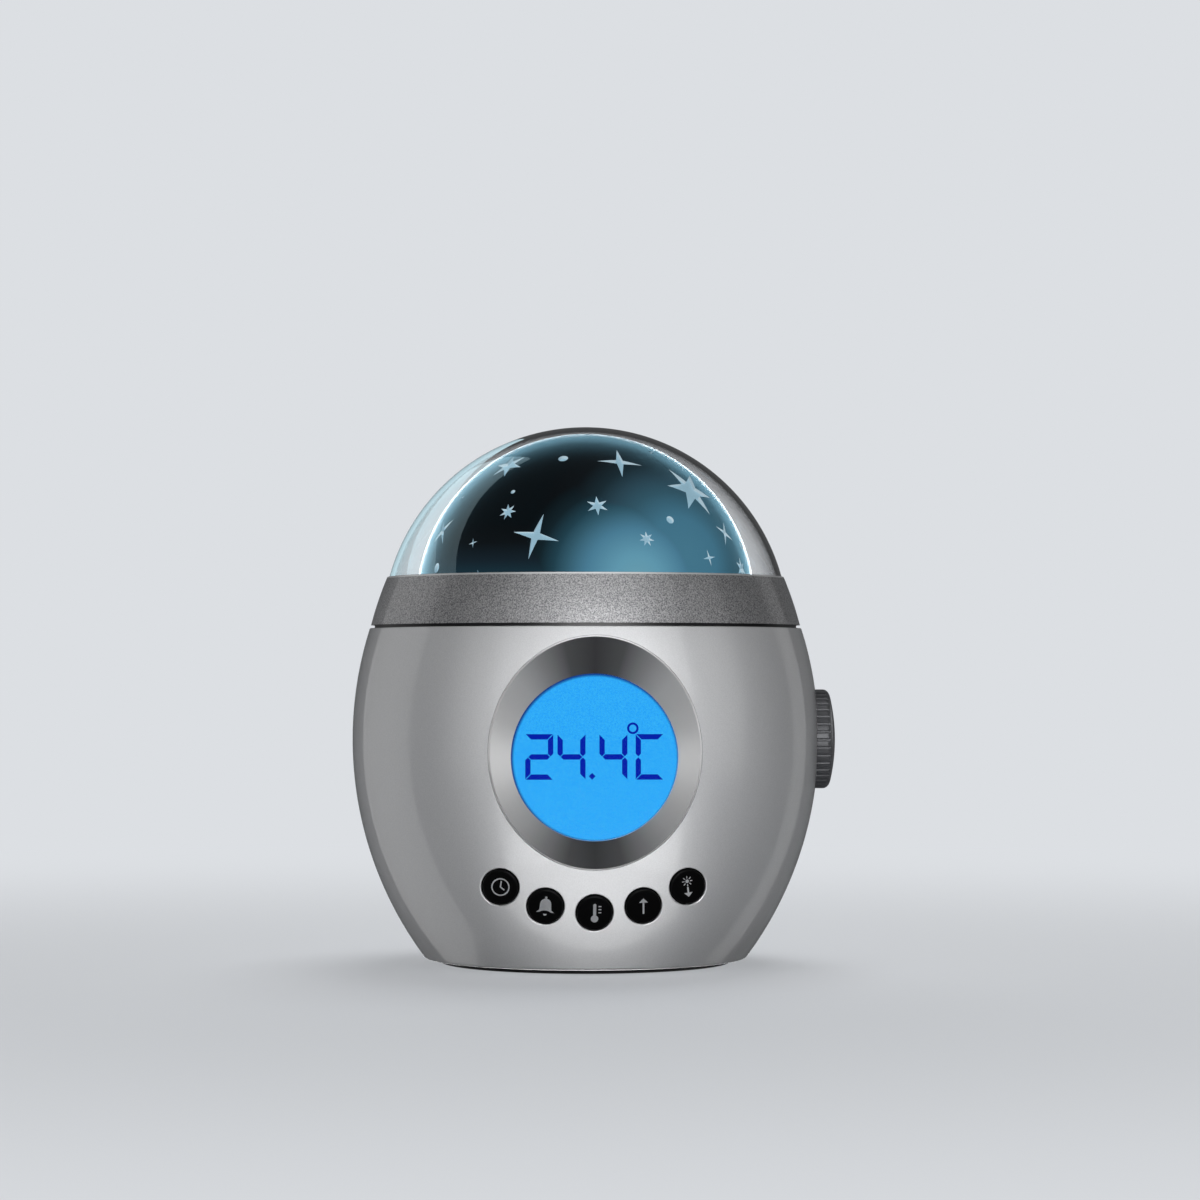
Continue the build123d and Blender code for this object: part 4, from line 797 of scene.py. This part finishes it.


# pad print: off-white and dull, with a faint painted glow that makes it read brighter
sign_ink_and_painted_glow = plain(
    "pad_print_with_painted_glow", SIGN_WHITE, Roughness=0.6, Emission_Color=linear(SIGN_WHITE),
    Emission_Strength=0.08,
)
signs = {
    "time": (clock_sign(), -8),
    "alarm": (bell_sign(), -4),
    "temp": (thermometer_sign(), 0),
    "up": (arrow_sign(0, 3.0 * MM, 1), 2),
    "down": (lamp_sign() + arrow_sign(-1.1 * MM, 1.9 * MM, -1), 8),
}
for key, (outlines, tilt) in signs.items():
    sign = marks(f"{key}_sign", turned(outlines, key, tilt), f"{key}_button", f"{key}_key", sign_ink_and_painted_glow)


# ---------------------------------------------------------------- studio
PAPER = "#DCDFE3"
PAPER_EDGE = (0.72, 0.85)      # the sheet fades in between these shares of straight back
MIRRORED_PAPER = 0.12          # how strongly the sheet shows in a reflection
ROOM_LIGHT = 0.02
FLOOR_SIDES = 96
FLOOR_R = 3.0
FLOOR_FADE = (0.05, 0.6)       # distances from the middle between which the floor fades into paper
FLOOR_PAPER = 0.48             # share of paper under the object
FLOOR_BEHIND = (0.2, 0.6)      # how far back glass shows the floor in the paper's colour
AIM_Z = 65 * MM                # the height that the lamps are aimed at


def paper_share(tree, behind):
    """How much a ray sees of the pale paper, straight or through glass, and if it is mirrored."""
    path = add_node(tree, "ShaderNodeLightPath").outputs
    bounces = add_node(
        tree, "ShaderNodeMath", (path["Glossy Depth"], path["Diffuse Depth"]), operation="ADD",
    )
    straight = add_node(tree, "ShaderNodeMapRange", (bounces, 0.0, 1.0, 1.0, 0.0))
    open_way = add_node(tree, "ShaderNodeMath", (straight, behind), operation="MAXIMUM")
    through = add_node(
        tree, "ShaderNodeMath", (path["Is Transmission Ray"], open_way), operation="MULTIPLY",
    )
    seen = add_node(tree, "ShaderNodeMath", (path["Is Camera Ray"], through), operation="MAXIMUM")
    return seen, path["Is Glossy Ray"]


def studio_world():
    """A dim room with a wide sheet of pale paper behind the object."""
    world = bpy.data.worlds.new("studio")
    bpy.context.scene.world = world
    world.use_nodes = True
    tree = world.node_tree
    tree.nodes.clear()
    way = add_node(tree, "ShaderNodeTexCoord").outputs["Generated"]
    back = add_node(tree, "ShaderNodeSeparateXYZ", (way,)).outputs["Y"]
    behind = add_node(
        tree, "ShaderNodeMapRange", (back, *PAPER_EDGE, 0.0, 1.0), interpolation_type="SMOOTHSTEP",
    )
    mirror = add_node(tree, "ShaderNodeMapRange", (back, *PAPER_EDGE, 0.0, MIRRORED_PAPER))
    seen, glossy = paper_share(tree, behind)
    mirrored = add_node(tree, "ShaderNodeMath", (glossy, mirror), operation="MULTIPLY")
    share = add_node(tree, "ShaderNodeMath", (seen, mirrored), operation="MAXIMUM")
    room = add_node(
        tree, "ShaderNodeBackground", {"Color": linear("#FFFFFF"), "Strength": ROOM_LIGHT},
    )
    paper = add_node(tree, "ShaderNodeBackground", {"Color": linear(PAPER), "Strength": 1.0})
    both = add_node(tree, "ShaderNodeMixShader", (share, room, paper))
    add_node(tree, "ShaderNodeOutputWorld", {"Surface": both})


def studio_floor():
    """A round matt floor that fades into the paper's colour away from the object, clear from below."""
    turns = [2 * pi * step / FLOOR_SIDES for step in range(FLOOR_SIDES)]
    mesh = bpy.data.meshes.new("floor")
    mesh.from_pydata(
        [(FLOOR_R * cos(turn), FLOOR_R * sin(turn), 0.0) for turn in turns], [],
        [list(range(FLOOR_SIDES))],
    )
    floor = add_object("floor", mesh)
    material, tree, shader = new_finish("matt_paper", PAPER, Roughness=0.9, Specular_IOR_Level=0.1)
    here = add_node(tree, "ShaderNodeTexCoord").outputs["Object"]
    away = add_node(tree, "ShaderNodeVectorMath", (here,), operation="LENGTH").outputs["Value"]
    far = add_node(
        tree, "ShaderNodeMapRange", (away, *FLOOR_FADE, FLOOR_PAPER, 1.0),
        interpolation_type="SMOOTHERSTEP",
    )
    back = add_node(tree, "ShaderNodeSeparateXYZ", (here,)).outputs["Y"]
    behind = add_node(tree, "ShaderNodeMapRange", (back, *FLOOR_BEHIND, 0.0, 1.0))
    share = add_node(
        tree, "ShaderNodeMath", (paper_share(tree, behind)[0], far), operation="MULTIPLY",
    )
    paper = add_node(tree, "ShaderNodeEmission", {"Color": linear(PAPER), "Strength": 1.0})
    both = add_node(tree, "ShaderNodeMixShader", (share, shader, paper))
    under = add_node(tree, "ShaderNodeNewGeometry").outputs["Backfacing"]
    clear = add_node(tree, "ShaderNodeBsdfTransparent")
    top_only = add_node(tree, "ShaderNodeMixShader", (under, both, clear))
    tree.links.new(top_only.outputs[0], tree.nodes["Material Output"].inputs["Surface"])
    mesh.materials.append(material)
    # the soft boxes reach below the floor, so that their reflections run down to the foot
    floor.visible_glossy = False
    floor.visible_shadow = False
    return floor


def soft_box(
    name, place, width, height, power, diffuse=True, mirrored=True, spread=180, only=(), roll=0,
    shape="RECTANGLE", colour="#FFFFFF",
):
    """A soft box of that width, height and power in watts, aimed at the object, that lights all
    pieces or only some."""
    lamp = bpy.data.lights.new(name, "AREA")
    lamp.shape = shape
    lamp.color = linear(colour)[:3]
    lamp.size = width
    lamp.size_y = height
    lamp.energy = power
    lamp.spread = radians(spread)
    box = add_object(name, lamp)
    box.location = place
    aim = (Vector((0, 0, AIM_Z)) - Vector(place)).to_track_quat("-Z", "Y")
    box.rotation_euler = (aim @ Quaternion((0, 0, 1), radians(roll))).to_euler()
    box.visible_camera = False
    box.visible_transmission = False
    box.visible_diffuse = diffuse
    box.visible_glossy = mirrored
    if only:
        linked = bpy.data.collections.new(f"{name}_receivers")
        for piece in only:
            linked.objects.link(piece)
        box.light_linking.receiver_collection = linked


def around(turn, lift, distance):
    """A place at an angle from the front towards +X, lifted by an angle, at a distance."""
    level = distance * cos(radians(lift))
    return (
        level * sin(radians(turn)), -level * cos(radians(turn)),
        AIM_Z + distance * sin(radians(lift)),
    )


studio_world()
floor = studio_floor()
SEE_THROUGH = ("outer_dome", "display_window", "star_dome", "dome_liner")
opaque = [piece for node_name, piece in nodes.items() if node_name not in SEE_THROUGH]
lacquered = [nodes["front_shell"], nodes["rear_shell"]]
shade = [nodes["star_dome"]]
cone = [nodes["display_bezel"]]
ring = [nodes["trim_ring"]]
below = [springs, *(nodes[name] for name in (
    "base_plate", "base_screws", "foot_ring", "battery_door", "door_screws", "battery_cells",
    "contact_plates",
))]
# in front of the object
soft_box("near_strip", (0.012, -0.24, 0.085), 0.16, 0.15, 0.155, spread=110, only=opaque)
soft_box("low_strip", (0.012, -0.22, -0.18), 0.5, 0.22, 0.2, spread=120, only=lacquered)
soft_box("upper_front", around(2, 42, 1.0), 0.9, 0.35, 0.5, only=lacquered)
soft_box("ring_front", around(2, 42, 1.0), 1.7, 0.35, 1.1, only=ring)
soft_box("front_left", around(-36, 0, 0.8), 0.35, 1.3, 0.95, only=lacquered)
soft_box("front_right", around(38, 0, 0.8), 0.35, 1.3, 1.1, only=lacquered)
# at the sides and above
soft_box("left_box", around(-60, 12, 1.2), 0.4, 1.0, 0.31, only=[*opaque, floor])
soft_box("right_box", around(70, 12, 1.2), 0.4, 1.0, 0.46, only=[*opaque, floor])
soft_box("left_cone", around(-60, 0, 1.2), 0.4, 0.5, 0.42, only=cone)
soft_box("right_cone", around(60, 0, 1.2), 0.4, 0.5, 0.46, only=cone)
soft_box("low_cone", around(0, -30, 1.2), 0.5, 0.4, 0.35, only=cone)
soft_box("top_box", around(0, 80, 1.2), 0.8, 0.8, 1.6, only=[*opaque, floor])
# behind and below
soft_box("floor_box", around(160, 66, 1.2), 0.7, 0.7, 7.5, mirrored=False, only=[floor])
soft_box("rear_box", around(180, 25, 1.2), 0.8, 0.8, 4.0, mirrored=False)
soft_box("left_strip", around(-119, 0, 1.3), 1.1, 3.0, 4.3, diffuse=False, only=opaque)
soft_box("right_strip", around(126, 0, 1.3), 0.36, 3.0, 1.0, diffuse=False, only=opaque)
soft_box("rear_key", around(177.5, 0, 1.2), 0.25, 2.8, 6.5, only=[*lacquered, *ring])
soft_box("knob_box", around(104, 14, 1.2), 0.6, 0.6, 2.4, only=[nodes["side_knob"]])
soft_box("under_box", (0.15, 0.2, -1.1), 0.8, 0.8, 9.0, only=below)
# the pale veil on the clear dome
soft_box(
    "dome_strip", (-0.98, 0.6, 0.71), 0.85, 1.7, 5.4, diffuse=False, only=[clear_dome], roll=58,
    colour="#CCEDF8",
)
# the bright line round the shade, with its glow and haze
RIM_PLACE = (0.057, 1.3, 0.12)
for name, size, power, colour in (
    ("rim_line", 0.95, 72.0, "#F4FBFF"), ("rim_glow", 2.2, 30.0, "#8FD0EA"),
    ("rim_haze", 4.0, 26.0, "#7CC3E0"),
):
    soft_box(name, RIM_PLACE, size, size, power, only=shade, shape="DISK", colour=colour)
# the ring and the shade mirror the soft boxes, not the clear dome
clear_dome.visible_glossy = False

# ---------------------------------------------------------------- camera
CAMERA_PLACE = (-38.9 * MM, -891 * MM, 76.4 * MM)
CAMERA_TURN = -2.5         # degrees about the z axis, towards +X
LENS = 101.96              # focal length in millimetres
SENSOR = 36.0              # width in millimetres
PICTURE = 1200             # pixels across the picture
SHIFT_X = 14.5 / PICTURE   # the lens is moved by these pixels to the right and up
SHIFT_Y = 70 / PICTURE
camera_data = bpy.data.cameras.new("camera")
camera_data.lens = LENS
camera_data.sensor_width = SENSOR
camera_data.shift_x = SHIFT_X
camera_data.shift_y = SHIFT_Y
camera_data.clip_start = 0.01
camera_data.clip_end = 100
camera = add_object("camera", camera_data)
camera.location = CAMERA_PLACE
camera.rotation_euler = (radians(90), 0, radians(CAMERA_TURN))
bpy.context.scene.camera = camera
bpy.context.scene.view_settings.view_transform = "Standard"
